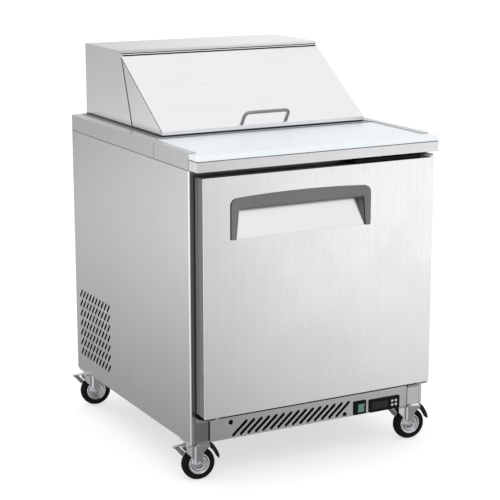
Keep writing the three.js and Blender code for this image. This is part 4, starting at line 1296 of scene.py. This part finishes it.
def pedal(pivot):
    """Foot pedal: a curved arm that widens and ends in a ribbed toe."""
    u, z = pivot
    outline = fillet([
        (u + 9, z + 1), (u + 9, z - 6), (u + 12.5, z - 14), (u + 20, z - 22), (u + 26, z - 32),
        (u + 29, z - 38), (u + 34.4, z - 43), (u + 34.4, z - 35), (u + 31.5, z - 24), (u + 26, z - 14),
        (u + 20, z - 4), (u + 15, z + 1),
    ], [1.5, 5, 10, 10, 8, 4, 1.6, 8, 10, 10, 6, 1.5], 6)
    body = plate(outline, -7.9, 7.9, "Y", rounding=1.5, steps=4)
    ribs = [
        slab(u + 32.2 - 1.6 * k, u + 34.2 - 1.6 * k, -6.4, 6.4, z - 31.6 + 3.4 * k, z - 30.4 + 3.4 * k, 0.4)
        for k in range(3)
    ]
    return merged(body, *ribs)


def top_plate():
    """Mounting plate with four bolt holes, over the raceway ring."""
    low, high, race = 106.0, 109.7, 22
    holes = [circle(u, v, 3.2, 16) for u, v in BOLT_SPOTS]
    sheet = plate(rectangle(-27, 27, -27, 27, 6), low, high, "Z", holes, 0.7)
    ring = lathe([
        (0, 100), (18, 100), (race - 0.6, 100.6), (race, 102), (20.6, 103.4), (race - 0.4, 104.6),
        (race, 106.4), (0, 106.4),
    ], (0, 0, 0), "Z", 44)
    return merged(sheet, ring)


def plate_bolts():
    return merged(*(hex_head((u, v, 106), "Z", -1, 5, 3.4) for u, v in BOLT_SPOTS))


def build_casters():
    """Four casters: the forks, wheels and pedals turn with the swivel, the plates stay square."""
    for place in ("front_left", "front_right", "rear_left", "rear_right"):
        turned = caster_frame(place)
        squared = Matrix.Translation(turned.translation)
        to_caster = turned.inverted()
        axle = to_caster @ (Vector(JOINTS[f"wheel_{place}_roll"]["pos_m"]) / MM)
        pivot = (to_caster @ (Vector(JOINTS[f"pedal_{place}_press"]["pos_m"]) / MM)).xz
        trail, radius = axle.x, axle.z
        for solid, node, name, where in (
            (tyre(trail, radius), "caster_wheel", f"tyre_{place}", turned),
            (fork(trail, radius), "caster_fork", None, turned),
            (top_plate(), "caster_plate", None, squared),
            (pedal(pivot), "brake_pedal", None, turned),
        ):
            solid.transform(where)
            stand_in(f"{node}_{place}", solid, name)
        for solid, name, body, slot, where in (
            (rim(trail, radius), "wheel_rim", f"wheel_{place}", "caster_zinc", turned),
            (brake_shoe(), "brake_shoe", f"swivel_{place}", "handle_plastic", turned),
            (plate_bolts(), "caster_bolts", "cabinet", "zinc_plate", squared),
        ):
            solid.transform(where)
            show(f"{name}_{place}", solid, body, slot)


# ---------------------------------------------------------------- build

for build in (
    build_side_panels, build_back_panel, build_frame_and_liner, build_wire_shelf, build_kick_grille,
    build_controls, build_counter, build_cutting_board, build_pans, build_hood, build_lid, build_lid_handle,
    build_hood_gap_shade, build_door_skin, build_door_back, build_door_gasket, build_door_pull, build_hinges,
    build_compressor, build_condenser, build_evaporator, build_fan, build_casters,
):
    build()


# ---------------------------------------------------------------- stage, light, camera


def area_light(name, place, target, size, power):
    data = bpy.data.lights.new(name, "AREA")
    data.shape = "RECTANGLE"
    data.size, data.size_y = size
    data.energy = power
    lamp = bpy.data.objects.new(name, data)
    lamp.location = place
    lamp.rotation_euler = (Vector(target) - Vector(place)).to_track_quat("-Z", "Y").to_euler()
    bpy.context.scene.collection.objects.link(lamp)


def make_stage():
    """A wide pale floor. Steel reflects the studio round it instead, as a white cove does."""
    bm = bmesh.new()
    bmesh.ops.create_circle(bm, cap_ends=True, segments=96, radius=30)
    mesh = bpy.data.meshes.new("floor")
    bm.to_mesh(mesh)
    bm.free()
    look = Look("floor")
    look.colour(look.mix(look.noise(1.5, 3), (0.5, 0.5, 0.5), (0.52, 0.52, 0.52)))
    look.set(Roughness=0.9, Specular_IOR_Level=0.1, Emission_Color=(1, 1, 1, 1), Emission_Strength=0.58)
    mesh.materials.append(look.material)
    floor = bpy.data.objects.new("floor", mesh)
    bpy.context.scene.collection.objects.link(floor)
    floor.visible_glossy = False


def make_studio():
    """White surround; in reflections it has two soft side boxes and falls off towards the floor."""
    world = bpy.data.worlds.new("studio")
    bpy.context.scene.world = world
    world.use_nodes = True
    nodes = Nodes(world.node_tree)
    direction = nodes.node("SeparateXYZ")
    nodes.link(nodes.node("TexCoord").outputs["Generated"], direction.inputs[0])
    height = direction.outputs["Z"]

    def ranged(value, start, end, low, high):
        return nodes.span(value, low, high, start, end, interpolation_type="SMOOTHSTEP")

    def blended(factor, a, b):
        made = nodes.node("Mix", data_type="FLOAT")
        nodes.feed((made.inputs[0], made.inputs[2], made.inputs[3]), (factor, a, b))
        return made.outputs[0]

    boxes = ranged(nodes.math("ABSOLUTE", direction.outputs["X"], 0), 0.35, 0.5, 0.34, 1.05)
    level = ranged(height, -0.4, -0.14, 0.42, 1.72)
    shaded = nodes.math("MULTIPLY", level, ranged(height, -0.2, -0.11, 1.0, 0.5))
    upward = ranged(height, -0.08, 0.4, 0, 1)
    reflected = blended(upward, nodes.math("MULTIPLY", boxes, shaded), 1.05)
    strength = blended(nodes.node("LightPath").outputs["Is Glossy Ray"], 1.0, reflected)
    background = world.node_tree.nodes["Background"]
    background.inputs["Color"].default_value = (1, 1, 1, 1)
    nodes.link(strength, background.inputs["Strength"])
    area_light("key", (-1.5, -2.6, 3.6), (0, 0, 0.5), (2.4, 2.4), 30)


def make_camera():
    pitch_down, turned_right = 13.08, 28.33
    data = bpy.data.cameras.new("camera")
    data.sensor_width = 36
    data.lens = 110.66
    data.clip_end = 100
    camera = bpy.data.objects.new("camera", data)
    camera.location = (-1.949, -3.626, 1.46)
    camera.rotation_euler = (math.radians(90 - pitch_down), 0, math.radians(-turned_right))
    bpy.context.scene.collection.objects.link(camera)
    bpy.context.scene.camera = camera
    view = bpy.context.scene.view_settings
    view.view_transform = "Standard"
    view.look = "None"


make_stage()
make_studio()
make_camera()
